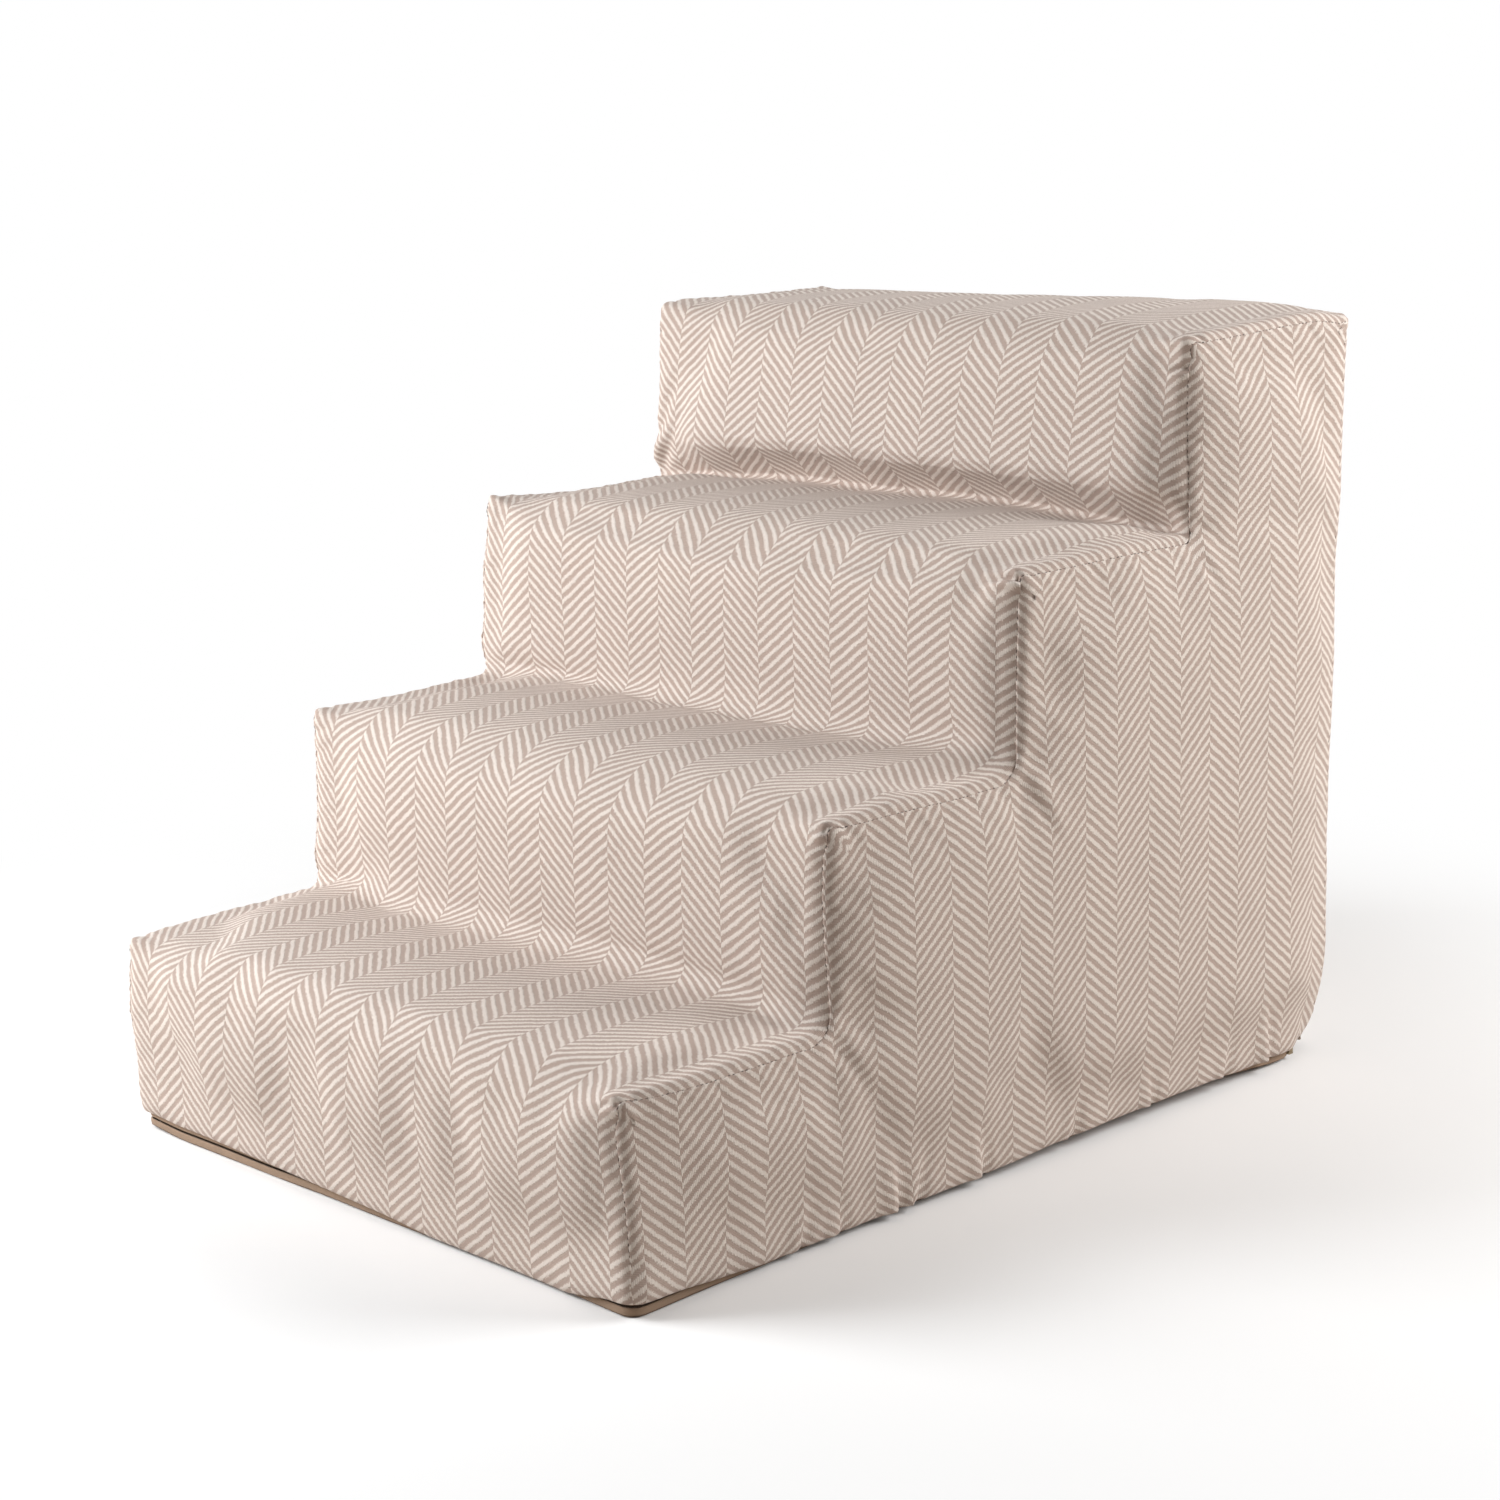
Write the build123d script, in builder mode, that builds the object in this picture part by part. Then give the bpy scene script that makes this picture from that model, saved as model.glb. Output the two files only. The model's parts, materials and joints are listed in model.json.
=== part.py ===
"""Pet stairs: four foam steps in a sewn cloth cover that opens with a zip along its foot.

The steps climb towards +Y, X runs across them and +Z is up. The origin is on the floor,
under the middle of the stairs. Sizes are in millimetres.
"""

import os

from build123d import *

# The foam core, four slabs bonded one on another
step_count = 4
tread_run = 150.0
slab_thickness = 114.3
core_width = 440.0

# The cover's cloth, and how it turns over the foam
cloth = 1.2
ease = 0.3
nose_radius = 20.0
crest_radius = 13.0
cove_radius = 15.0
edge_radius = 7.0

# The sewn seams: a side seam lies just past the rounded edge, on the flat of the side
seam_past_edge = 1.0
seam_gap = 0.9
thread_diameter = 0.7
back_seam_drop = 18.0

# The base cloth and the zip in the recess above it, along the front and both sides
base_cloth = 1.2
zip_recess = 4.5
zip_corner_radius = 9.0
tape_width = 4.2
tape_thickness = 0.6
tape_gap = 1.0
row_width = 2.1
row_depth = 2.2
left_park = 40.0
right_park = 40.0

# The zip's slider, which is parked at the back of the left side
slider_length = 10.0
slider_width = 7.0
slider_corner = 1.5
plate_thickness = 1.0
flange_width = 1.05
running_gap = 0.25
channel_gap = 0.3
wedge_length = 2.6
wedge_width = 2.4
wedge_setback = 0.6
neck_width = 0.7
front_stand_off = 1.5

# The crown on the slider, and the pull tab that swings in it
crown_length = 7.0
crown_width = 2.0
crown_thickness = 0.8
crown_foot = 1.2
crown_room = 1.5
crown_corner = 0.7
pull_bar_diameter = 1.0
pull_length = 22.0
pull_width = 5.0
pull_tip_width = 3.6
pull_tip_corner = 1.5
pull_side_room = 0.35
pull_eye_reach = 4.2
grip_length = 7.0
grip_width = 1.6
grip_setback = 3.2

# The stops that end the zip
stop_length = 2.5
stop_wall = 0.5
stop_depth = 1.2
stop_clearance = 0.3
retainer_length = 4.0

# How far a cutting tool runs past what it cuts
overrun = 5.0

# Worked out from the sizes above
wrap = cloth + ease
half_width = core_width / 2 + wrap
stair_depth = step_count * tread_run
front = -stair_depth / 2
back = stair_depth / 2
seam_inset = edge_radius + seam_past_edge
zip_middle = base_cloth + tape_width + tape_gap / 2
band_top = base_cloth + 2 * tape_width + tape_gap
row_face = zip_recess + tape_thickness
row_back = row_face + row_depth
slider_face = zip_recess - running_gap - plate_thickness
inner_plate_face = row_back + channel_gap
slider_back = inner_plate_face + plate_thickness
relief_depth = slider_back + channel_gap
relief_top = band_top + cloth + ease
slider_middle = back - left_park
slider_nose = slider_middle + slider_length / 2
wedge_front = slider_nose - wedge_setback - wedge_length
left_row_end = wedge_front - stop_clearance
right_row_end = back - right_park
pivot_depth = slider_face - crown_room / 2


def tread_level(step):
    """Height of the cloth on a tread, counted from 1 at the front."""
    return base_cloth + step * slab_thickness + wrap


stair_height = tread_level(step_count)
back_seam_level = stair_height - back_seam_drop


def side_outline(inset, foot):
    """Corner points in Y and Z, and their radii, of the stairs' outline seen from the side,
    a given depth inside the cover's outer face and down to a given height."""
    points = [(front + inset, foot)]
    radii = [0]
    for step in range(1, step_count + 1):
        face = front + (step - 1) * tread_run + inset
        top = tread_level(step) - inset
        points.append((face, top))
        radii.append(nose_radius - inset)
        if step < step_count:
            points.append((face + tread_run, top))
            radii.append(cove_radius + inset)
    points.append((back - inset, stair_height - inset))
    radii.append(crest_radius - inset)
    points.append((back - inset, foot))
    radii.append(0)
    return points, radii


def side_prism(inset, foot, left, right):
    """The stairs' outline, run across from one X to another."""
    points, radii = side_outline(inset, foot)
    with BuildPart() as prism:
        with BuildSketch(Plane.YZ.offset(left)):
            with BuildLine():
                FilletPolyline(*points, radius=radii, close=True)
            make_face()
        extrude(amount=right - left)
    return prism.part


def rounded_block(inset, foot):
    """The whole stairs as one block with rounded side edges, a given depth inside the cover."""
    block_half = half_width - inset
    with BuildPart() as block:
        add(side_prism(inset, foot, -block_half, block_half))
        ends = block.faces().filter_by(Axis.X).sort_by(Axis.X)
        rims = ends[0].edges().sort_by(Axis.Z)[1:] + ends[-1].edges().sort_by(Axis.Z)[1:]
        fillet(rims, edge_radius - inset)
    return block.part


def foot_strip(inset, depth, left_end, right_end):
    """Plan of a strip along the left side, the front and the right side, at a depth inside the walls."""
    outer = half_width - inset
    inner = outer - depth
    corner = zip_corner_radius - (inset - zip_recess)
    with BuildSketch() as strip:
        with BuildLine():
            FilletPolyline(
                (-outer, left_end),
                (-outer, front + inset),
                (outer, front + inset),
                (outer, right_end),
                (inner, right_end),
                (inner, front + inset + depth),
                (-inner, front + inset + depth),
                (-inner, left_end),
                radius=[0, corner, corner, 0, 0, corner - depth, corner - depth, 0],
                close=True,
            )
        make_face()
    return strip.sketch


def foot_band(inset, depth, bottom, top, left_end, right_end):
    """The strip of foot_strip as a solid, from one height to another."""
    with BuildPart() as band:
        with BuildSketch(Plane.XY.offset(bottom)):
            add(foot_strip(inset, depth, left_end, right_end))
        extrude(amount=top - bottom)
    return band.part


def zip_ground(inset):
    """Plan of the ground inside the zip, a given depth inside the walls on three sides."""
    side = half_width - inset
    corner = zip_corner_radius - (inset - zip_recess)
    with BuildSketch() as ground:
        with BuildLine():
            FilletPolyline(
                (-side, back + overrun),
                (-side, front + inset),
                (side, front + inset),
                (side, back + overrun),
                radius=[0, corner, corner, 0],
                close=True,
            )
        make_face()
    return ground.sketch


def slab(low, high):
    """A plain block between two corners."""
    with BuildPart() as block:
        with BuildSketch(Plane.XY.offset(low[2])):
            with Locations(((low[0] + high[0]) / 2, (low[1] + high[1]) / 2)):
                Rectangle(high[0] - low[0], high[1] - low[1])
        extrude(amount=high[2] - low[2])
    return block.part


def thread_along(points, radii, start_direction):
    """A sewing thread along a route of straight runs and arcs."""
    with BuildPart() as thread:
        with BuildLine() as route:
            FilletPolyline(*points, radius=radii)
        with BuildSketch(Plane(origin=points[0], z_dir=start_direction)):
            Circle(thread_diameter / 2)
        sweep(path=route.wires()[0])
    return thread.part


def finish(shape, name):
    """Names a piece and writes its file."""
    shape.label = name
    export_step(shape, f"parts/{name}.step")


os.makedirs("parts", exist_ok=True)

# Foam slabs, each one tread shorter than the slab under it
foam_envelope = rounded_block(wrap, base_cloth)
with BuildPart() as zip_relief:
    add(
        slab(
            (-half_width - overrun, front - overrun, base_cloth),
            (half_width + overrun, back - seam_inset, relief_top),
        )
    )
    with BuildSketch(Plane.XY.offset(base_cloth)):
        add(zip_ground(relief_depth))
    extrude(amount=relief_top - base_cloth, mode=Mode.SUBTRACT)

for step in range(1, step_count + 1):
    slab_front = front + (step - 1) * tread_run + wrap
    slab_bottom = base_cloth + (step - 1) * slab_thickness
    with BuildPart() as foam_slab:
        add(
            slab(
                (-half_width, slab_front, slab_bottom),
                (half_width, back, slab_bottom + slab_thickness),
            )
        )
        add(foam_envelope, mode=Mode.INTERSECT)
        if step == 1:
            add(zip_relief.part, mode=Mode.SUBTRACT)
    finish(foam_slab.part, f"foam_slab_{step}")

# The cover's walls in one shell, before they are parted at the seams
with BuildPart() as cover_walls:
    add(rounded_block(0, base_cloth))
    add(rounded_block(cloth, -overrun), mode=Mode.SUBTRACT)
    window_start = half_width - cloth - overrun
    add(side_prism(seam_inset, -overrun, window_start, half_width + overrun), mode=Mode.SUBTRACT)
    add(side_prism(seam_inset, -overrun, -half_width - overrun, -window_start), mode=Mode.SUBTRACT)

# The cover's foot on three sides, which ends in a hem turned in to the zip
front_foot = slab(
    (-half_width - overrun, front - overrun, -overrun),
    (half_width + overrun, front + seam_inset + overrun, band_top),
)
with BuildPart() as turned_hem:
    with BuildSketch(Plane.XY.offset(band_top)):
        with Locations((0, (front + back) / 2)):
            RectangleRounded(2 * half_width, stair_depth, edge_radius)
        add(zip_ground(row_face), mode=Mode.SUBTRACT)
    extrude(amount=cloth)

# The part of the shell that the back panel takes
back_zone = slab(
    (-half_width - overrun, back - seam_inset - overrun, -overrun),
    (half_width + overrun, back + overrun, back_seam_level),
)
back_zone_with_gap = slab(
    (-half_width - overrun, back - seam_inset - overrun, -overrun),
    (half_width + overrun, back + overrun, back_seam_level + seam_gap),
)

# Tread strip: one length of cloth up every riser, over every tread and over the top edge
with BuildPart() as front_hem:
    add(turned_hem.part)
    add(
        slab(
            (-half_width - overrun, front - overrun, band_top - overrun),
            (half_width + overrun, front + seam_inset, band_top + overrun),
        ),
        mode=Mode.INTERSECT,
    )

with BuildPart() as tread_strip:
    add(cover_walls.part)
    add(back_zone_with_gap, mode=Mode.SUBTRACT)
    add(front_foot, mode=Mode.SUBTRACT)
    add(front_hem.part)
finish(tread_strip.part, "tread_strip")

# Back panel, from its seam under the top edge down to the base
with BuildPart() as back_panel:
    add(cover_walls.part)
    add(back_zone, mode=Mode.INTERSECT)
    add(
        slab(
            (-half_width - overrun, back - seam_inset - overrun, 0),
            (half_width + overrun, back + overrun, base_cloth + seam_gap),
        ),
        mode=Mode.SUBTRACT,
    )
finish(back_panel.part, "back_panel")

# Side panels, flat, with the hem turned in along the foot
panel_inset = seam_inset + seam_gap
for name, side in (("side_panel_left", -1), ("side_panel_right", 1)):
    inner_face = side * (half_width - cloth)
    outer_face = side * half_width
    middle_line = side * overrun
    outer_limit = side * (half_width + overrun)
    with BuildPart() as side_hem:
        add(turned_hem.part)
        add(
            slab(
                (min(middle_line, outer_limit), front + panel_inset, band_top - overrun),
                (max(middle_line, outer_limit), back - panel_inset, band_top + overrun),
            ),
            mode=Mode.INTERSECT,
        )
    with BuildPart() as side_panel:
        add(
            side_prism(
                panel_inset,
                band_top,
                min(inner_face, outer_face),
                max(inner_face, outer_face),
            )
        )
        add(side_hem.part)
    finish(side_panel.part, name)

# Base panel, drawn in to the zip on three sides and out to the seam at the back
base_half = half_width - zip_recess
base_shoulder = back - seam_inset
with BuildPart() as base_panel:
    with BuildSketch():
        with BuildLine():
            FilletPolyline(
                (-base_half, base_shoulder),
                (-base_half, front + zip_recess),
                (base_half, front + zip_recess),
                (base_half, base_shoulder),
                (half_width, base_shoulder),
                (half_width, back),
                (-half_width, back),
                (-half_width, base_shoulder),
                radius=[0, zip_corner_radius, zip_corner_radius, 0, 0, edge_radius, edge_radius, 0],
                close=True,
            )
        make_face()
    extrude(amount=base_cloth)
finish(base_panel.part, "base_panel")

# Seam threads: one round each side panel, one across the back and one along the base
thread_inset = seam_inset + seam_gap / 2
thread_foot = band_top + cloth
outline, corners = side_outline(thread_inset, thread_foot)
for name, side in (("seam_thread_left", -1), ("seam_thread_right", 1)):
    thread_x = side * (half_width - cloth / 2)
    route = [(thread_x, y, z) for y, z in outline]
    finish(thread_along(route, corners[1:-1], (0, 0, 1)), name)

back_thread_level = back_seam_level + seam_gap / 2
base_thread_level = base_cloth + seam_gap / 2
thread_half = half_width - cloth / 2
thread_back = back - cloth / 2
for name, level in (("seam_thread_back", back_thread_level), ("seam_thread_base", base_thread_level)):
    route = [
        (-thread_half, back - seam_inset, level),
        (-thread_half, thread_back, level),
        (thread_half, thread_back, level),
        (thread_half, back - seam_inset, level),
    ]
    finish(thread_along(route, [edge_radius - cloth / 2] * 2, (0, 1, 0)), name)

# Zip tapes, and the rows of coil on their inner faces
tape_end = back - seam_inset
tape_levels = {
    "zip_tape_lower": (base_cloth, base_cloth + tape_width),
    "zip_tape_upper": (band_top - tape_width, band_top),
}
for name, (bottom, top) in tape_levels.items():
    finish(foot_band(zip_recess, tape_thickness, bottom, top, tape_end, tape_end), name)

row_levels = {
    "coil_row_lower": (zip_middle - row_width, zip_middle),
    "coil_row_upper": (zip_middle, zip_middle + row_width),
}
for name, (bottom, top) in row_levels.items():
    finish(foot_band(row_face, row_depth, bottom, top, left_row_end, right_row_end), name)


def across_left(depth):
    """X of a place at a depth inside the left wall."""
    return -half_width + depth


# Top stops: a clip on each tape, just past the parked slider's nose
stop_start = slider_nose + stop_clearance
stop_reach = tape_gap / 2 - stop_clearance / 2
with BuildPart() as top_stops:
    for direction in (-1, 1):
        near = zip_middle + direction * stop_reach
        far = zip_middle + direction * (tape_gap / 2 + row_width)
        add(
            slab(
                (across_left(zip_recess - stop_wall), stop_start, min(near, far)),
                (across_left(row_face + stop_depth), stop_start + stop_length, max(near, far)),
            )
        )
    for bottom, top in tape_levels.values():
        add(foot_band(zip_recess, tape_thickness, bottom, top, tape_end, tape_end), mode=Mode.SUBTRACT)
finish(top_stops.part, "top_stops")

# Retainer that holds both tapes together where the zip ends on the right
retainer_reach = tape_gap / 2 + row_width
retainer_end = right_row_end + retainer_length
with BuildPart() as bottom_stop:
    add(
        slab(
            (half_width - row_back, right_row_end, zip_middle - retainer_reach),
            (half_width - zip_recess + stop_wall, retainer_end, zip_middle + retainer_reach),
        )
    )
    for bottom, top in tape_levels.values():
        add(foot_band(zip_recess, tape_thickness, bottom, top, tape_end, tape_end), mode=Mode.SUBTRACT)
finish(bottom_stop.part, "bottom_stop")

# Slider: two plates joined by a wedge, with a crown for the pull on the outer plate
with BuildPart() as slider_body:
    for face in (slider_face, inner_plate_face):
        with BuildSketch(Plane.YZ.offset(across_left(face))):
            with Locations((slider_middle, zip_middle)):
                RectangleRounded(slider_length, slider_width, slider_corner)
        extrude(amount=plate_thickness)
    flange_start = row_face + running_gap
    with BuildSketch(Plane.YZ.offset(across_left(flange_start))):
        for direction in (-1, 1):
            flange_level = zip_middle + direction * (slider_width - flange_width) / 2
            with Locations((slider_middle, flange_level)):
                Rectangle(slider_length - 2 * slider_corner, flange_width)
    extrude(amount=inner_plate_face - flange_start)
    wedge_middle = wedge_front + wedge_length / 2
    with BuildSketch(Plane.YZ.offset(across_left(flange_start))):
        with Locations((wedge_middle, zip_middle)):
            SlotOverall(wedge_length, wedge_width)
    extrude(amount=inner_plate_face - flange_start)
    with BuildSketch(Plane.YZ.offset(across_left(slider_face + plate_thickness))):
        with Locations((wedge_middle, zip_middle)):
            Rectangle(wedge_length, neck_width)
    extrude(amount=inner_plate_face - slider_face - plate_thickness)
    with BuildSketch(Plane.XY.offset(zip_middle - crown_width / 2)):
        crown_top = slider_face - crown_room - crown_thickness
        with Locations((across_left((crown_top + slider_face) / 2), slider_middle)):
            Rectangle(slider_face - crown_top, crown_length)
        with Locations((across_left(slider_face - crown_room / 2), slider_middle)):
            Rectangle(crown_room, crown_length - 2 * crown_foot, mode=Mode.SUBTRACT)
    extrude(amount=crown_width)
    crown_rims = slider_body.edges().filter_by(Axis.Z).group_by(Axis.X)[0]
    fillet(crown_rims, crown_corner)
finish(slider_body.part, "slider_body")

# Pull tab: a bar under the crown, an eye round its foot and a tapered leaf with a grip slot
pull_x = across_left(pivot_depth)
with BuildPart() as pull_tab:
    with BuildSketch(Plane.YZ.offset(pull_x - pull_bar_diameter / 2)):
        with BuildLine():
            FilletPolyline(
                (slider_middle, zip_middle - pull_width / 2),
                (slider_middle + pull_eye_reach, zip_middle - pull_width / 2),
                (slider_middle + pull_length, zip_middle - pull_tip_width / 2),
                (slider_middle + pull_length, zip_middle + pull_tip_width / 2),
                (slider_middle + pull_eye_reach, zip_middle + pull_width / 2),
                (slider_middle, zip_middle + pull_width / 2),
                radius=[0, 0, pull_tip_corner, pull_tip_corner, 0, 0],
                close=True,
            )
        make_face()
        with Locations((slider_middle + pull_eye_reach / 2, zip_middle)):
            Rectangle(pull_eye_reach, crown_width + 2 * pull_side_room, mode=Mode.SUBTRACT)
        with Locations((slider_middle + pull_length - grip_setback - grip_length / 2, zip_middle)):
            SlotOverall(grip_length, grip_width, mode=Mode.SUBTRACT)
    extrude(amount=pull_bar_diameter)
    with BuildSketch(Plane.XY.offset(zip_middle - pull_width / 2)):
        with Locations((pull_x, slider_middle)):
            Circle(pull_bar_diameter / 2)
    extrude(amount=pull_width)
finish(pull_tab.part, "pull_tab")

straight_zip_end = front + zip_recess + zip_corner_radius
slider_travel = slider_middle - slider_length / 2 - straight_zip_end - front_stand_off
print("width", 2 * half_width, "depth", stair_depth, "height", stair_height)
print("slider travel", slider_travel, "pull pivot", pull_x, slider_middle, zip_middle)
print("tread levels", [tread_level(step) for step in range(1, step_count + 1)])
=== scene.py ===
"""Looks of the pet stairs: a sewn herringbone cover over four foam steps, with a zip along its foot.

All sizes are in metres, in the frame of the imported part: X runs across the steps, the stairs
climb towards +Y and +Z is up. The cover is cut as a sewer cuts it: one strip up the risers and
over the treads, two stepped sides, a back and a base.
"""

import json
import math

import bpy
import numpy as np
from mathutils import Matrix, Vector
from mathutils.geometry import delaunay_2d_cdt
from mathutils.kdtree import KDTree

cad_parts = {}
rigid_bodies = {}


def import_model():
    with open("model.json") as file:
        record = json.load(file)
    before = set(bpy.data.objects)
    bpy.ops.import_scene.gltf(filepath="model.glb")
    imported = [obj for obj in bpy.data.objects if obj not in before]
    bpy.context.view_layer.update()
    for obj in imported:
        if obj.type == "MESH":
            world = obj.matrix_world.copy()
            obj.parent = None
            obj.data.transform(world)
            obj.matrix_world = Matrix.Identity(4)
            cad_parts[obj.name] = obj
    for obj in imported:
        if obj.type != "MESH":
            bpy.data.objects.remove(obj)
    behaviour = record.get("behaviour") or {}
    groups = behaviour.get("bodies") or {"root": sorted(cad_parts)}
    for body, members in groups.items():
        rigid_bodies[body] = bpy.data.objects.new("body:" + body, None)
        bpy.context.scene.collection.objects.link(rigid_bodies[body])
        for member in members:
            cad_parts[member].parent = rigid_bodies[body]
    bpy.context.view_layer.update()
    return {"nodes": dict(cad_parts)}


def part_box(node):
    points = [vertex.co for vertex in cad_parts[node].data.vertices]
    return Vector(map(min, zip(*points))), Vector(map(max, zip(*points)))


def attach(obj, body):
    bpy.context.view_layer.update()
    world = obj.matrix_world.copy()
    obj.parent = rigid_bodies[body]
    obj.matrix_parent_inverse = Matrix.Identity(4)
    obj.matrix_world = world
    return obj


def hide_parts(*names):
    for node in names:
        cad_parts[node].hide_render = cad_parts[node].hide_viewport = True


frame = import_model()
bpy.ops.object.select_all(action="DESELECT")

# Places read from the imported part
strip_low, strip_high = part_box("tread_strip")
slab_boxes = [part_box(f"foam_slab_{step}") for step in range(1, 5)]
base_low, base_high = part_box("base_panel")
upper_low, upper_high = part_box("zip_tape_upper")
lower_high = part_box("zip_tape_lower")[1]
half_width = strip_high.x
front = strip_low.y
back = strip_high.y
hem_level = strip_low.z
base_top = base_high.z
wrap = half_width - slab_boxes[0][1].x
riser_faces = [low.y - wrap for low, high in slab_boxes]
tread_levels = [high.z + wrap for low, high in slab_boxes]
back_seam_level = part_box("back_panel")[1].z
step_depth = riser_faces[1] - riser_faces[0]
foam_names = [f"foam_slab_{step}_core" for step in range(1, 5)]
tape_recess = half_width - upper_high.x

# How the cloth turns at the steps, as in the part
nose_radius = 0.020
cove_radii = (0.015, 0.015, 0.003)
crest_radius = 0.013
edge_radius = 0.007
seam_inset = 0.008
seam_gap = 0.0014
lip_radius = seam_gap / 2
lip_depth = 0.0008
seam_dip = 0.0012
seam_dip_reach = 0.0040

# How far the side seams creep on to the risers, at the foot and head of each, and on to the treads
riser_creeps = ((0.0085, 0.0110), (0.0095, 0.0100), (0.0095, 0.0095), (0.0075, 0.0075))
tread_creep = 0.0035
creep_reach = 0.014

# The noses stand square at their ends, and the risers sink back there, each over a width
nose_square = 0.0050
square_reach = 0.050
riser_droops = ((0.0012, 0.0016), (0.0012, 0.0016), (0.0006, 0.0026), (0.0012, 0.0024))
droop_width = 0.013

# Where the straight walls end and the cloth rolls in to the zip
foot_start = 0.030
back_foot = 0.0021
roll_height = 0.009
roll_depth = tape_recess - 0.0001
hem_lap = 0.0003

# The base lies in slow waves
base_wave = 0.0003
base_wave_pitch = 0.11

# The zip round the foot: its tapes, and the coil behind them
zip_corner = 0.009
tape_thickness = 0.0006
tape_cup = 0.00022
tape_trim = 0.0003
tape_sway = 0.0003
tape_sway_pitch = 0.13
tape_end = back - seam_inset
coil_depth = 0.0022
coil_pitch = 0.00125
coil_wire = 0.00022
coil_mesh = 0.0002
coil_low, coil_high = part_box("coil_row_lower")
coil_left_end = coil_high.y
coil_right_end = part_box("bottom_stop")[0].y

# Sewing: how long a stitch is, from one to the next, and how thick and how twisted its thread is
stitch_length = 0.0024
stitch_pitch = 0.0031
thread_radius = 0.00034
thread_sink = 0.0003
ply_pitch = 0.0006

# The foam stands a little inside the cloth, with soft edges
foam_room = 0.0024
foam_edge = 0.010
foam_grain = 0.007

# The simulated cover: its coarse copy, how much the cloth is let out, and how far it may move
shell_pitch = 0.008
shell_pressure = 1.3
shell_top_share = 0.35
shell_let_out = 0.03
shell_frames = 20
shell_reach = 0.007
shell_give = 0.0005
seam_hold = 0.010
seam_firm_share = 1.3
foot_firm_share = 1.5
shell_top_depth = 0.020
shell_top_fade = 0.015
shell_rounds = 2
shell_near = 8

# Grids of the cloth meshes
row_pitch = 0.0026
fine_row_pitch = 0.0011
side_row_pitch = 0.0023
column_pitch = 0.0045
fine_reach = 0.030
fine_columns = 16
edge_columns = 9
panel_pitch = 0.0045
panel_rings = (0.0012, 0.0027, 0.0046, 0.0070)
ring_clear = 0.001
lattice_clear = 0.0105
base_pitch = 0.012

# The strip's rows lie closer from below to above each riser's head, and round the top riser's foot
nose_window = (-0.004, 0.026)
tuck_window = (-0.016, 0.034)

# A length too small to matter
hair = 1e-6


class Outline:
    """The stairs seen from the side, as straight runs and arcs measured by length from the foot."""

    def __init__(self, corners):
        points = [Vector(corner[:2]) for corner in corners]
        self.length = 0.0
        self.starts, self.lengths, self.places, self.headings, self.turns = [], [], [], [], []
        start = points[0]
        for number in range(1, len(points) - 1):
            radius = corners[number][2]
            into = (points[number] - points[number - 1]).normalized()
            out = (points[number + 1] - points[number]).normalized()
            turn = math.atan2(into.x * out.y - into.y * out.x, into.dot(out))
            reach = radius * math.tan(abs(turn) / 2)
            arc_start = points[number] - into * reach
            self.run(start, into, (arc_start - start).length, 0.0)
            self.run(arc_start, into, radius * abs(turn), turn)
            start = points[number] + out * reach
        self.run(start, (points[-1] - start).normalized(), (points[-1] - start).length, 0.0)

    def run(self, place, direction, length, turn):
        """Adds one straight run, or an arc where it turns."""
        self.starts.append(self.length)
        self.lengths.append(length)
        self.places.append(tuple(place))
        self.headings.append(math.atan2(direction.y, direction.x))
        self.turns.append(turn)
        self.length += length

    def at(self, length):
        """Points in Y and Z, and their outward normals, at lengths from the foot."""
        which = np.clip(np.searchsorted(self.starts, length, side="right") - 1, 0, None)
        along = length - np.array(self.starts)[which]
        first = np.array(self.headings)[which]
        bend = np.array(self.turns)[which] / np.array(self.lengths)[which]
        heading = first + bend * along
        straight = bend == 0
        curve = np.where(straight, 1, bend)
        east = np.where(straight, along * np.cos(first), (np.sin(heading) - np.sin(first)) / curve)
        north = np.where(straight, along * np.sin(first), (np.cos(first) - np.cos(heading)) / curve)
        places = np.array(self.places)[which] + np.stack([east, north], -1)
        return places, np.stack([-np.sin(heading), np.cos(heading)], -1)


def steps_outline(start, end):
    """The outline from a level on the front, over the steps and down the back to another level."""
    corners = [(front, start)]
    for number, (riser, tread) in enumerate(zip(riser_faces, tread_levels)):
        corners.append((riser, tread, nose_radius))
        if number + 1 < len(riser_faces):
            corners.append((riser_faces[number + 1], tread, cove_radii[number]))
    corners.append((back, tread_levels[-1], crest_radius))
    corners.append((back, end))
    return Outline(corners)


def straight_runs(outline):
    """Where each riser and tread lies along an outline: start and end lengths of the straight runs."""
    runs = zip(outline.starts, outline.lengths, outline.turns)
    return [(start, start + length) for start, length, turn in runs if turn == 0]


strip_outline = steps_outline(foot_start, back_seam_level + seam_gap)
strip_runs = straight_runs(strip_outline)
side_outline = steps_outline(0.0, 0.0)
edge_turn = edge_radius * math.pi / 2
flat_half = half_width - edge_radius
seam_past = edge_turn + seam_inset - edge_radius
seam_width = flat_half + seam_past


def across_section():
    """Where the strip's columns lie across it: width from the middle, and the lip's turn and depth."""
    plain_half = flat_half - fine_reach
    section = [(x, 0.0, 0.0) for x in np.linspace(0, plain_half, round(plain_half / column_pitch) + 1)]
    section += [(plain_half + on, 0.0, 0.0) for on in np.linspace(0, fine_reach, fine_columns)[1:]]
    section += [(flat_half + past, 0.0, 0.0) for past in np.linspace(0, seam_past, edge_columns + 1)[1:]]
    section += [(seam_width + lip_radius * turn, turn, 0.0) for turn in lip_turns]
    section.append((seam_width + lip_radius * lip_turns[-1] + lip_depth, lip_turns[-1], lip_depth))
    right = np.array(section)
    left = right[:0:-1] * (-1, 1, 1)
    return np.concatenate([left, right])


lip_turns = np.linspace(0, math.pi / 2, 4)[1:]
section_width, section_turn, section_sink = across_section().T


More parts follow.
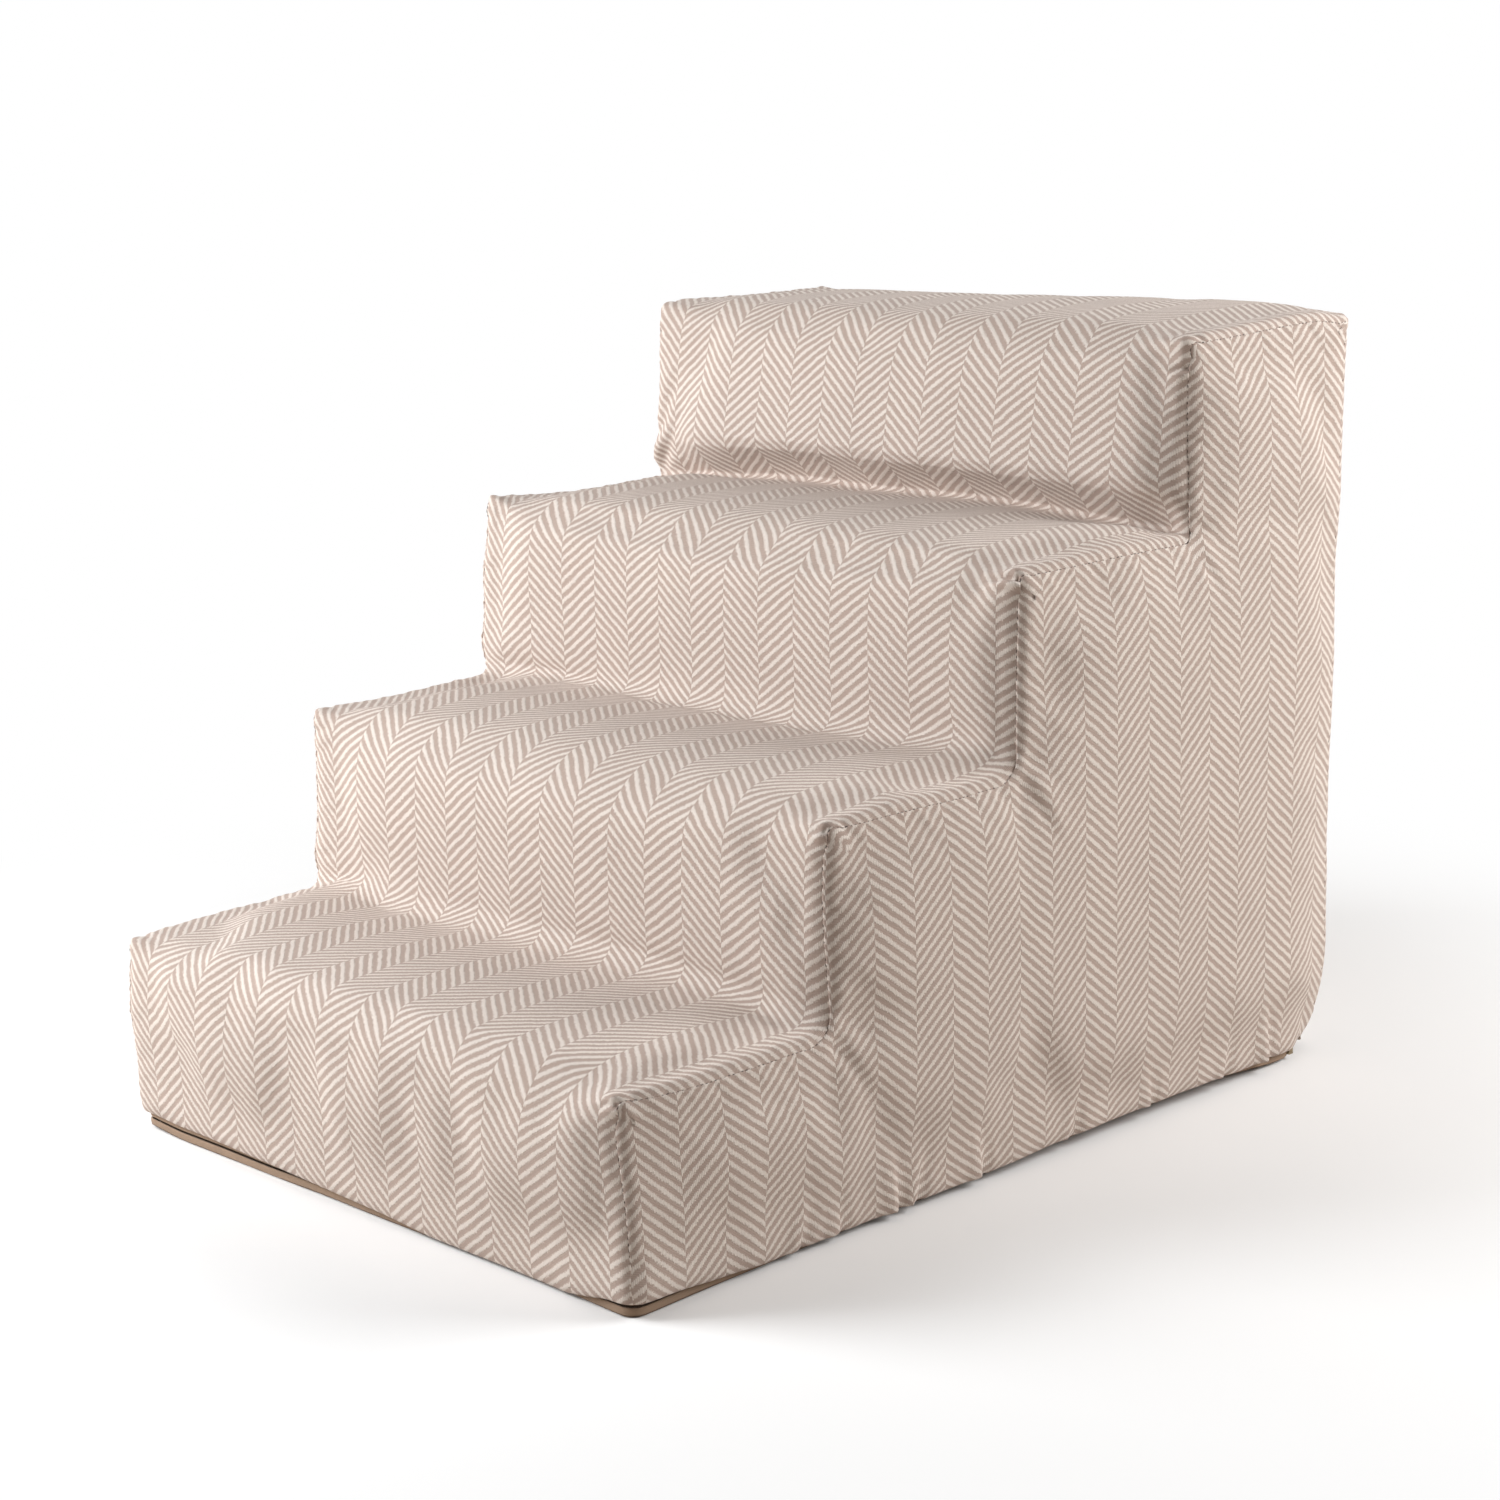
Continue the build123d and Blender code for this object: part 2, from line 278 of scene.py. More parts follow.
def along_steps(lengths, riser_values, tread_value):
    """Values given at the foot and head of each riser and on all treads, by length from the floor."""
    stations, values = [], []
    for number, (start, end) in enumerate(straight_runs(side_outline)):
        stations += [max(start, foot_start), end]
        on_riser = number % 2 == 0 and number // 2 < len(riser_values)
        values += riser_values[number // 2] if on_riser else (tread_value, tread_value)
    return np.interp(lengths, stations, values)


def nose_share(outline, lengths):
    """1 at the middle of each nose and of the crest, and 0 off them."""
    share = np.zeros_like(lengths)
    for start, length, turn in zip(outline.starts, outline.lengths, outline.turns):
        if turn < 0:
            within = np.clip((lengths - start) / length * 1.6 - 0.3, 0, 1)
            share += np.sin(math.pi * within) ** 2
    return share


def wrap_edge(past):
    """Depth in the outline, reach across and lean at a developed distance round the rounded edge."""
    lean = np.clip(past / edge_radius, 0, math.pi / 2)
    inset = edge_radius * (1 - np.cos(lean)) + np.clip(past - edge_turn, 0, None)
    return inset, edge_radius * np.sin(lean) + np.clip(past, None, 0), lean


def drawn_widths(creep):
    """Where the strip's columns lie from the middle, row by row, once the seam has crept in."""
    plain_half = flat_half - fine_reach
    width = np.clip(np.abs(section_width), 0, seam_width)
    drawn = np.clip(width - plain_half, 0, None) / (seam_width - plain_half)
    return width - drawn * creep[:, None]


def fade(share):
    """From 1 at 0 down to 0 at 1 and beyond."""
    return np.clip(1 - share, 0, 1) ** 2


def droop_profile(from_seam, level_width):
    """1 at the seam and over a width beside it, then down to 0."""
    return fade(np.clip(from_seam - level_width, 0, None) / droop_width)


def section_cloth(middle, outward, width, sunk):
    """Cloth whose middle line is given row by row, spread across the section.

    middle is rows by columns of Y and Z, outward the rows' normals in Y and Z, width how far
    each point lies from the middle along the cloth, and sunk how far it lies under the
    surface. Returns places and normals.
    """
    rows, columns = sunk.shape
    side = np.sign(section_width)
    inset, reach, lean = wrap_edge(np.clip(width - flat_half, 0, None))
    normals = np.empty((rows, columns, 3))
    onward = np.empty((rows, columns, 3))
    normals[..., 0], onward[..., 0] = side * np.sin(lean), side * np.cos(lean)
    normals[..., 1:] = np.cos(lean)[..., None] * outward[:, None]
    onward[..., 1:] = -np.sin(lean)[..., None] * outward[:, None]
    places = np.empty((rows, columns, 3))
    places[..., 0] = side * (np.clip(width, 0, flat_half) + reach)
    places[..., 1:] = middle - inset[..., None] * outward[:, None]
    places += (lip_radius * np.sin(section_turn))[None, :, None] * onward
    sunk = sunk + lip_radius * (1 - np.cos(section_turn)) + section_sink
    return places - sunk[..., None] * normals, normals


def hang_level(places):
    """How far over the floor the cover's lower edge hangs, at points round its foot.

    It stands clear of the zip on the left side and at the near corner, and sags over it between.
    """
    along_front = places[..., 0]
    along_side = places[..., 1] - front
    front_stations = [-half_width, -0.15, -0.08, 0.02, 0.06, 0.17, 0.20, half_width]
    front_levels = [0.0104, 0.0100, 0.0080, 0.0045, 0.0020, 0.0018, 0.0070, 0.0085]
    side_stations = [0.0, 0.03, 0.06, 0.10, 0.20, 0.50, 0.535, 0.56, 0.60]
    side_levels = [0.0085, 0.0080, 0.0050, 0.0030, 0.0018, 0.0018, 0.0060, 0.0060, 0.0030]
    at_front = np.interp(along_front, front_stations, front_levels)
    at_side = np.interp(along_side, side_stations, side_levels)
    on_side = (along_side > edge_radius) & (along_front > 0)
    level = np.where(on_side, at_side, at_front)
    on_left = (along_side > edge_radius) & (along_front < 0)
    return np.where(on_left, hem_level - hem_lap, level)


def foot_roll(level):
    """Depth and height of the cloth from the foot of the wall, round its lower edge, to the hem."""
    drop = np.linspace(0, 1, 9)[1:, None]
    turn = np.linspace(0, math.pi, 13)[1:, None]
    wall = foot_start + drop * (level + roll_height - foot_start)
    rise = np.where(turn < math.pi / 2, roll_height, hem_level + hem_lap - level)
    heights = np.concatenate([wall, level + rise * (1 - np.sin(turn))])
    depths = np.concatenate([wall * 0, roll_depth * (1 - np.cos(turn)) / 2 + level * 0])
    return depths, heights


# Where the real cover stands out of true: the middle of each soft push, its reach and its move
soft_pushes = (
    ((-half_width, -0.225, tread_levels[0]), (0.120, 0.085, 0.030), (0.0, 0.0, 0.0040)),
    ((-half_width, riser_faces[1], 0.175), (0.080, 0.060, 0.060), (-0.0045, -0.0045, 0.0)),
    ((-half_width, riser_faces[1], 0.228), (0.040, 0.030, 0.022), (-0.0028, -0.0016, 0.0020)),
    ((-half_width, -0.075, tread_levels[1]), (0.100, 0.085, 0.030), (0.0, 0.0, 0.0012)),
    ((-half_width, riser_faces[2], 0.300), (0.080, 0.060, 0.060), (-0.0090, -0.0090, 0.0)),
    ((-half_width, riser_faces[2], 0.245), (0.080, 0.060, 0.022), (-0.0048, -0.0048, 0.0)),
    ((-half_width, 0.075, tread_levels[2]), (0.100, 0.070, 0.030), (0.0, 0.0, -0.0018)),
    ((-half_width, riser_faces[3], 0.375), (0.080, 0.060, 0.045), (-0.0050, -0.0048, 0.0)),
    ((-half_width, riser_faces[1], 0.135), (0.060, 0.050, 0.020), (-0.0038, -0.0038, 0.0)),
    ((-half_width, riser_faces[3], 0.358), (0.060, 0.050, 0.015), (-0.0042, -0.0026, 0.0)),
    ((-half_width, riser_faces[2], tread_levels[2]), (0.034, 0.034, 0.022), (-0.0008, -0.0008, 0.0040)),
    ((-half_width, front, 0.076), (0.050, 0.050, 0.028), (-0.0034, -0.0018, 0.0)),
    ((half_width, riser_faces[3], 0.420), (0.030, 0.012, 0.040), (-0.0030, 0.0, 0.0)),
    ((-half_width, riser_faces[3], 0.436), (0.060, 0.050, 0.034), (-0.0040, -0.0034, 0.0020)),
    ((0.150, back - 0.010, tread_levels[3]), (0.160, 0.090, 0.045), (0.0, 0.0, 0.0062)),
    ((half_width, back, tread_levels[3]), (0.022, 0.022, 0.022), (0.0010, 0.0010, -0.0052)),
    ((half_width, back, 0.430), (0.060, 0.060, 0.090), (0.0028, 0.0028, 0.0)),
    ((half_width, back, 0.130), (0.060, 0.060, 0.090), (-0.0017, -0.0017, 0.0)),
    ((half_width, front, 0.104), (0.040, 0.034, 0.042), (-0.0072, 0.0015, 0.0)),
    ((half_width, riser_faces[1], 0.186), (0.050, 0.034, 0.050), (-0.0040, -0.0020, 0.0)),
    ((half_width, front, 0.004), (0.055, 0.055, 0.020), (0.0040, -0.0036, 0.0)),
)

# How far the cover's right lower edge is drawn up along its length, and how far in that is felt
lift_stations = (-0.200, -0.100, -0.030, 0.030, 0.100, 0.190, 0.240, 0.300)
lift_heights = (0.0, 0.0025, 0.0030, 0.0055, 0.0065, 0.0065, 0.0015, 0.0010)
lift_reach = 0.050
lift_rise = 0.060

# The bottom corners, which no foam fills: side and end, reach across and along the floor, height,
# and how far each is drawn in and lifted. The first ends before the run of the zip's slider.
foot_corners = (
    (-1, front, 0.050, 0.013, 0.030, -0.0015, 0.003),
    (-1, back, 0.034, 0.034, 0.060, 0.0030, 0.0),
    (1, back, 0.048, 0.048, 0.075, 0.0120, 0.005),
)


def settle(places):
    """Gives every piece the slumped shape of the real one."""
    settled = places.copy()
    for middle, reach, move in soft_pushes:
        gap = ((places - np.array(middle)) / np.array(reach)) ** 2
        settled += np.exp(-gap.sum(-1))[..., None] * np.array(move)
    lift = np.interp(places[..., 1], lift_stations, lift_heights)
    inside = fade((half_width - places[..., 0]) / lift_reach)
    settled[..., 2] += lift * inside * fade(places[..., 2] / lift_rise)
    for side, end, across, along, height, draw, lift in foot_corners:
        gap = np.hypot((places[..., 0] - side * half_width) / across, (places[..., 1] - end) / along)
        share = fade(gap ** 2) * fade(places[..., 2] / height)
        settled[..., 0] -= side * draw * share
        settled[..., 1] -= math.copysign(draw, end) * share
        settled[..., 2] += lift * share
    return settled


def ripple(length, pitch, phase):
    """An uneven wave between -1 and 1."""
    turn = 2 * math.pi * length / pitch
    wave = 0.5 * np.sin(turn + phase)
    wave += 0.3 * np.sin(1.63 * turn + 2.1 * phase + 1)
    return wave + 0.2 * np.sin(0.59 * turn + 0.7 * phase + 2)


def bump(value, middle, reach):
    """A soft rise round one value."""
    return np.exp(-(((value - middle) / reach) ** 2))


def crease(across, along, start, end, depth, width):
    """A crease on flat cloth: a groove beside a ridge, deepest at its start and gone at its end."""
    line = np.array(end) - np.array(start)
    length = np.hypot(*line)
    line = line / length
    right, up = across - start[0], along - start[1]
    run = right * line[0] + up * line[1]
    aside = up * line[0] - right * line[1]
    share = np.clip(run / length, 0, 1)
    past = np.hypot(np.clip(-run, 0, None), np.clip(run - length, 0, None))
    profile = 0.7 * bump(aside, 1.7 * width, 1.3 * width) - bump(aside, 0, width)
    return depth * (1 - share) ** 0.8 * profile * bump(past, 0, width)


def make_cloth(name, places, faces, flat):
    """A mesh of cloth, with where each corner lay in the flat weave as its UV map."""
    mesh = bpy.data.meshes.new(name)
    mesh.from_pydata(places.reshape(-1, 3).tolist(), [], faces)
    corners = np.empty(len(mesh.loops), np.int64)
    mesh.loops.foreach_get("vertex_index", corners)
    weave = mesh.uv_layers.new(name="weave")
    weave.uv.foreach_set("vector", flat.reshape(-1, 2)[corners].astype(np.float32).ravel())
    mesh.polygons.foreach_set("use_smooth", [True] * len(mesh.polygons))
    piece = bpy.data.objects.new(name, mesh)
    bpy.context.scene.collection.objects.link(piece)
    return piece


def grid_faces(rows, columns):
    """Faces of a grid whose rows run along the cloth and whose columns run across it."""
    index = np.arange(rows * columns).reshape(rows, columns)
    corners = [index[:-1, :-1], index[:-1, 1:], index[1:, 1:], index[1:, :-1]]
    return np.stack(corners, -1).reshape(-1, 4).tolist()


def walked(places):
    """Lengths along the rows of a grid of places."""
    steps = np.linalg.norm(np.diff(places, axis=0), axis=-1)
    return np.concatenate([steps[:1] * 0, np.cumsum(steps, axis=0)])


# How much closer the strip's weave lies on its right than on its left, by width
strip_skew = 0.24


def strip_rows():
    """Lengths of the strip's rows, closer together at the noses and at the top riser's foot."""
    rows = np.linspace(0, strip_outline.length, round(strip_outline.length / row_pitch) + 1)
    heads = [end for start, end in strip_runs[:8:2]]
    windows = [(head + nose_window[0], head + nose_window[1]) for head in heads]
    windows.append((strip_runs[6][0] + tuck_window[0], strip_runs[6][0] + tuck_window[1]))
    for low, high in windows:
        fine = np.linspace(low, high, round((high - low) / fine_row_pitch) + 1)
        below, above = rows[rows < low - fine_row_pitch], rows[rows > high + fine_row_pitch]
        rows = np.concatenate([below, fine, above])
    return rows


# How the top riser's cloth tucks in at its foot and leans out over it, by length up the riser
tuck_stations = (-0.034, -0.008, 0.0, 0.021, 0.028, 0.056, 0.092)
tuck_leans = (0.0, 0.0052, 0.0080, -0.0084, -0.0104, -0.0056, 0.0)


def tread_strip():
    """The strip up the risers and over the treads, from the hem over the zip to the back seam."""
    lengths = strip_rows()
    middle, outward = strip_outline.at(lengths)
    square = nose_share(strip_outline, lengths)
    droop = along_steps(lengths + foot_start, riser_droops, 0.0)
    creep = along_steps(lengths + foot_start, riser_creeps, tread_creep)
    tuck = np.interp(lengths - strip_runs[6][0], tuck_stations, tuck_leans)
    lip_middle = middle[-1] - np.stack([lip_turns * 0, lip_radius * np.sin(lip_turns)], -1)
    middle = np.concatenate([middle, lip_middle, lip_middle[-1:]])
    outward = np.concatenate([outward, np.repeat(outward[-1:], 4, 0)])
    square, droop, tuck = (np.concatenate([rows, np.zeros(4)]) for rows in (square, droop, tuck))
    creep = np.concatenate([creep, np.repeat(creep[-1:], 4)])
    sunk = np.zeros(len(middle))
    sunk[-4:-1] = lip_radius * (1 - np.cos(lip_turns))
    sunk[-1] = lip_radius + lip_depth

    columns = len(section_width)
    edge_x = np.clip(section_width, -half_width, half_width)
    depths, heights = foot_roll(hang_level(np.stack([edge_x, np.full(columns, front)], -1)))
    foot_rows = len(depths)
    foot_middle = np.stack([np.full_like(heights, front), heights], -1)[::-1]
    middle = np.concatenate([foot_middle, np.repeat(middle[:, None], columns, 1)])
    outward = np.concatenate([np.repeat([(-1.0, 0.0)], foot_rows, 0), outward])
    droop, creep = (np.concatenate([[rows[0]] * foot_rows, rows]) for rows in (droop, creep))
    square, tuck = (np.concatenate([[0.0] * foot_rows, rows]) for rows in (square, tuck))
    sunk = np.concatenate([depths[::-1], np.repeat(sunk[:, None], columns, 1)])

    width = drawn_widths(creep)
    across = np.sign(section_width) * width
    inside = seam_width - creep[:, None] - width
    grown = nose_square * square[:, None] * fade((flat_half - width) / square_reach)
    grown -= droop[:, None] * droop_profile(inside, 0.0)
    middle += grown[..., None] * outward[:, None]
    middle[..., 0] += tuck[:, None] * slump_share(across, inside)
    places, normals = section_cloth(middle, outward, width, sunk)
    along = walked(places)
    along -= along[foot_rows]
    along[foot_rows:] = along[foot_rows:, columns // 2, None]
    relief = strip_relief(along, across, inside)
    places = settle(places + normals * relief[..., None])
    flat = np.stack([across * (1 - strip_skew * across), along], -1)
    piece = make_cloth("tread_strip_cloth", places, grid_faces(*along.shape), flat)
    return piece


# Folds at the left end of the top riser: place, height over its foot, lean, rise and depth
riser_folds = (
    (-0.214, 0.010, 0.030, 0.050, 0.0034),
    (-0.212, 0.040, 0.022, 0.045, 0.0024),
)
riser_fold_width = 0.0050

# The pleats where each nose meets its seams: their length, depth and width, from the lowest nose up
nose_pleats = (
    (0.012, 0.0030, 0.0018),
    (0.012, 0.0026, 0.0018),
    (0.024, 0.0068, 0.0022),
    (0.012, 0.0030, 0.0018),
)

# Where a pleat starts over its riser's head and past the flat strip, how far it falls, and how
# firm it is at the left seam and at the right one
pleat_level = 0.014
pleat_past = 0.003
pleat_fall = 0.002
pleat_firmness = ((-1, 0.35), (1, 1.0))

# How far each riser and tread is crowned, from the lowest riser up, and over what reach from a seam
strip_crowns = (0.0008, 0.0018, 0.0008, 0.0022, 0.0008, 0.0022, 0.0004, 0.0)
side_crown = 0.0012
crown_reach = 0.030

# The cloth fills the lower two hollows between tread and riser: how far, and over what reach
hollow_fill = 0.0035
hollow_reach = 0.016

# Over what reach from the left and from the right seam a riser's slump grows
left_slump = 0.030
right_slump = 0.012

# Waves beside the seams, short and long ones, on the strip and on a side: their pitch, phase,
# how far their middle lies from the seam, and their reach
strip_waves = ((0.0105, 1.3, 0.004, 0.009), (0.021, 0.2, 0.014, 0.016))
side_waves = ((0.0115, 0.4, 0.004, 0.009), (0.024, 1.9, 0.014, 0.018))
short_wave = 0.0003
long_wave = 0.0004

# The short waves stand higher round the noses: by how much, how far over a riser's head, and their reach
nose_wave = 0.0002
nose_wave_level = 0.010
nose_wave_reach = 0.030

# The wave along a side's lower edge: its height, pitch, level and reach
hem_wave = 0.0008
hem_wave_pitch = 0.055
hem_wave_level = 0.012
hem_wave_reach = 0.022


def slump_share(across, inside):
    """1 over most of a riser and 0 at its seams, sooner at the right than at the left."""
    return 1 - np.exp(-np.clip(inside, 0, None) / np.where(across < 0, left_slump, right_slump))


def seam_wave(along, inside, pitch, phase, middle, reach):
    """An uneven wave that runs beside a seam."""
    return ripple(along, pitch, phase) * bump(inside, middle, reach)


def strip_relief(along, across, inside):
    """How far the strip's cloth stands off its plain form."""
    inside = np.clip(inside, 0, None)
    fullness = 1 - np.exp(-inside / crown_reach)
    relief = -seam_dip * bump(inside, 0, seam_dip_reach)
    for number, (start, end) in enumerate(strip_runs[:-1]):
        share = np.clip((along - start) / (end - start), 0, 1)
        crown = np.sin(math.pi * share) ** 1.5
        relief += crown * fullness * strip_crowns[number]
    for tread, riser in (strip_runs[1:3], strip_runs[3:5]):
        hollow = (tread[1] + riser[0]) / 2
        relief += hollow_fill * bump(along, hollow, hollow_reach) * slump_share(across, inside)

    near_nose = np.zeros_like(relief)
    for (length, depth, width), (_, head) in zip(nose_pleats, strip_runs[:8:2]):
        level = head + pleat_level
        for side, firm in pleat_firmness:
            start = (side * (flat_half + pleat_past), level)
            end = (start[0] - side * length, level - pleat_fall)
            relief += crease(across, along, start, end, firm * depth, width)
        near_nose += bump(along, head + nose_wave_level, nose_wave_reach)
    for place, level, lean, height, depth in riser_folds:
        start = (place, strip_runs[6][0] + level)
        relief += crease(across, along, start, (start[0] + lean, start[1] + height), depth, riser_fold_width)
    relief += (short_wave + nose_wave * near_nose) * seam_wave(along, inside, *strip_waves[0])
    return relief + long_wave * seam_wave(along + 0.4 * np.abs(across), inside, *strip_waves[1])


def seam_distance(points, seam):
    """Distance of points from the seam line."""
    nearest = np.full(len(points), np.inf)
    for place in seam[::2]:
        nearest = np.minimum(nearest, np.hypot(points[:, 0] - place[0], points[:, 1] - place[1]))
    return nearest


def side_cloth(flat, onward, sunk, side):
    """Places of a side's cloth, given flat in Y and Z, drawn over the rounded edge where the seam creeps.

    onward is how far each point goes on past the seam's lip, and sunk how far it lies under the surface.
    """
    lengths = np.linspace(0, side_outline.length, round(side_outline.length / row_pitch) + 1)
    middle, outward = side_outline.at(lengths)
    gaps = np.hypot(flat[:, None, 0] - middle[None, :, 0], flat[:, None, 1] - middle[None, :, 1])
    nearest = np.argmin(gaps, axis=1)
    normal = outward[nearest]
    depth = np.einsum("ij,ij->i", middle[nearest] - flat, normal)
    from_seam = np.clip(depth - seam_inset - seam_gap, 0, None)
    creep = along_steps(lengths, riser_creeps, tread_creep)[nearest] * np.exp(-from_seam / creep_reach)
    grown = nose_square * nose_share(side_outline, lengths)[nearest] * np.exp(-from_seam / square_reach)
    grown -= along_steps(lengths, riser_droops, 0.0)[nearest] * droop_profile(from_seam, edge_turn)
    inset, reach, lean = wrap_edge(edge_turn + depth - edge_radius - creep)
    moved = flat + (depth - inset + grown)[:, None] * normal
    normals = np.column_stack([side * np.sin(lean), np.cos(lean)[:, None] * normal])
    past = np.column_stack([-side * np.cos(lean), np.sin(lean)[:, None] * normal])
    places = np.column_stack([side * (flat_half + reach), moved])
    places += onward[:, None] * past - sunk[:, None] * normals
    return places, normals, flat + creep[:, None] * normal


def side_panel(name, side):
    """A stepped side, flat cloth sewn in along the steps and hemmed over the zip."""
    panel_inset = seam_inset + seam_gap
    last = side_outline.length - foot_start
    lengths = np.linspace(foot_start, last, round(side_outline.length / side_row_pitch))
    middle, outward = side_outline.at(lengths)
    seam = middle - panel_inset * outward
    foot_count = round((back - front) / panel_pitch)
    foot_y = np.linspace(seam[-1, 0], seam[0, 0], foot_count)[1:-1]
    foot_line = np.stack([foot_y, np.full_like(foot_y, foot_start)], -1)
    border = np.concatenate([seam, foot_line])

    inner = []
    for depth in panel_rings:
        ring = middle - (panel_inset + depth) * outward
        ring = ring[(seam_distance(ring, seam) > depth * 0.9) & (ring[:, 1] > foot_start + ring_clear)]
        inner.append(ring)
    y_lines = np.arange(front, back, panel_pitch)
    z_lines = np.arange(foot_start + panel_pitch, tread_levels[-1], panel_pitch)
    lattice = np.stack(np.meshgrid(y_lines, z_lines), -1).reshape(-1, 2)
    under_steps = lattice[:, 1] < np.interp(lattice[:, 0], *covered_heights())
    between = (lattice[:, 0] > seam[0, 0]) & (lattice[:, 0] < seam[-1, 0])
    lattice = lattice[under_steps & between]
    inner.append(lattice[seam_distance(lattice, seam) > lattice_clear])
    points = np.concatenate([border, *inner])
    edges = [(number, (number + 1) % len(border)) for number in range(len(border))]
    found = delaunay_2d_cdt([Vector(point) for point in points], edges, [], 1, 1e-7)
    faces = [[found[3][corner][0] for corner in face] for face in found[2]]

    # The lip turned in to the seam, then the roll down to the zip, as rows that follow the border
    foot_loop = np.concatenate([seam[-1:], foot_line, seam[:1]])
    wall_places = np.column_stack([np.full(len(foot_loop), side * half_width), foot_loop[:, 0]])
    depths, heights = foot_roll(hang_level(wall_places))
    groups = [(points, np.zeros(len(points)), np.zeros(len(points)))]
    for turn, sink in zip([*lip_turns, lip_turns[-1]], [0, 0, 0, lip_depth]):
        onward = np.full(len(seam), lip_radius * math.sin(turn))
        groups.append((seam, onward, lip_radius * (1 - math.cos(turn)) + sink + 0 * onward))
    meeting = np.zeros(len(foot_loop))
    meeting[[0, -1]] = seam_gap
    for depth, height in zip(depths, heights):
        groups.append((np.column_stack([foot_loop[:, 0], height]), meeting, depth + meeting))
    flat, onward, sunk = (np.concatenate(part) for part in zip(*groups))
    starts = np.cumsum([0] + [len(group[0]) for group in groups])
    lip_rows = [np.arange(len(seam))] + [start + np.arange(len(seam)) for start in starts[1:5]]
    foot_row = np.concatenate([[len(seam) - 1], len(seam) + np.arange(len(foot_line)), [0]])
    foot_rows = [foot_row] + [start + np.arange(len(foot_loop)) for start in starts[5:-1]]
    for rows in (lip_rows, foot_rows):
        for outer, lower in zip(rows, rows[1:]):
            faces += np.stack([outer[:-1], outer[1:], lower[1:], lower[:-1]], -1).tolist()
    if side < 0:
        faces = [face[::-1] for face in faces]

    places, normals, weave = side_cloth(flat, onward, sunk, side)
    relief = side_relief(flat, seam_distance(flat, seam))
    places = settle(places + normals * relief[:, None])
    weave[starts[5]:, 1] -= np.concatenate(depths)
    piece = make_cloth(name, places, faces, weave)

    sewn, sewn_normals, _ = side_cloth(seam, np.full(len(seam), lip_radius), np.zeros(len(seam)), side)
    return piece, settle(sewn - sewn_normals * (seam_dip + thread_sink)), sewn_normals


def covered_heights():
    """Stations and heights of the steps, for telling what lies inside the side."""
    stations, heights = [], []
    for number, (riser, tread) in enumerate(zip(riser_faces, tread_levels)):
        end = riser_faces[number + 1] if number + 1 < len(riser_faces) else back
        stations += [riser, end - hair]
        heights += [tread, tread]
    return stations, heights


def side_relief(flat, distance):
    """How far a side's cloth stands off its plain form."""
    across, up = flat.T
    relief = -seam_dip * bump(distance, 0, seam_dip_reach)
    relief += side_crown * (1 - np.exp(-distance / crown_reach))
    for riser, level in zip(riser_faces[1:], tread_levels):
        for start, end, depth, width in hollow_creases:
            ends = [(riser + place[0], level + place[1]) for place in (start, end)]
            relief += crease(across, up, *ends, depth, width)
    for place, lean, height, depth in foot_puckers:
        relief += crease(across, up, (place, 0.0), (place + lean, height), depth, pucker_width)
    for height, wave in zip((short_wave, long_wave), side_waves):
        relief += height * seam_wave(across + up, distance, *wave)
    return relief + hem_wave * ripple(across, hem_wave_pitch, 0.9) * bump(up, hem_wave_level, hem_wave_reach)


# Creases of a side from each hollow of the steps: start and end from its corner, depth and width
hollow_creases = (
    ((0.006, -0.011), (0.026, -0.045), 0.0022, 0.0040),
    ((0.006, -0.011), (-0.010, -0.037), 0.0014, 0.0040),
    ((0.012, -0.001), (0.026, 0.034), 0.0012, 0.0045),
)

# Short puckers that rise from the side's lower edge: place, lean, height and depth
foot_puckers = (
    (-0.178, 0.008, 0.034, 0.0030),
    (-0.146, -0.004, 0.030, 0.0028),
    (-0.101, -0.004, 0.046, 0.0046),
    (-0.086, 0.006, 0.036, 0.0040),
    (-0.031, -0.004, 0.036, 0.0040),
    (0.046, 0.005, 0.036, 0.0034),
    (0.120, -0.005, 0.034, 0.0036),
    (0.190, 0.004, 0.034, 0.0034),
    (0.236, -0.006, 0.046, 0.0050),
)
pucker_width = 0.0032


def back_panel():
    """The back, wrapped round both upright edges to the side seams."""
    top = back_seam_level
    heights = np.linspace(top, back_foot, round((top - back_foot) / row_pitch) + 1)
    turns = lip_turns[::-1]
    heights = np.concatenate([[top + lip_radius], top + lip_radius * np.sin(turns), heights])
    sunk = np.zeros(len(heights))
    sunk[0] = lip_radius + lip_depth
    sunk[1:4] = lip_radius * (1 - np.cos(turns))
    columns = len(section_width)
    middle = np.stack([np.full_like(heights, back), heights], -1)
    middle = np.repeat(middle[:, None], columns, 1)
    outward = np.repeat([(1.0, 0.0)], len(heights), 0)
    width = drawn_widths(np.full(len(heights), tread_creep))
    places, normals = section_cloth(middle, outward, width, np.repeat(sunk[:, None], columns, 1))
    along = np.broadcast_to(heights[:, None], places.shape[:2])
    across = np.sign(section_width) * width
    relief = -seam_dip * bump(seam_width - tread_creep - width, 0, seam_dip_reach)
    places = settle(places + normals * relief[..., None])
    flat = np.stack([across, along], -1)
    piece = make_cloth("back_panel_cloth", places, grid_faces(*along.shape), flat)
    return piece


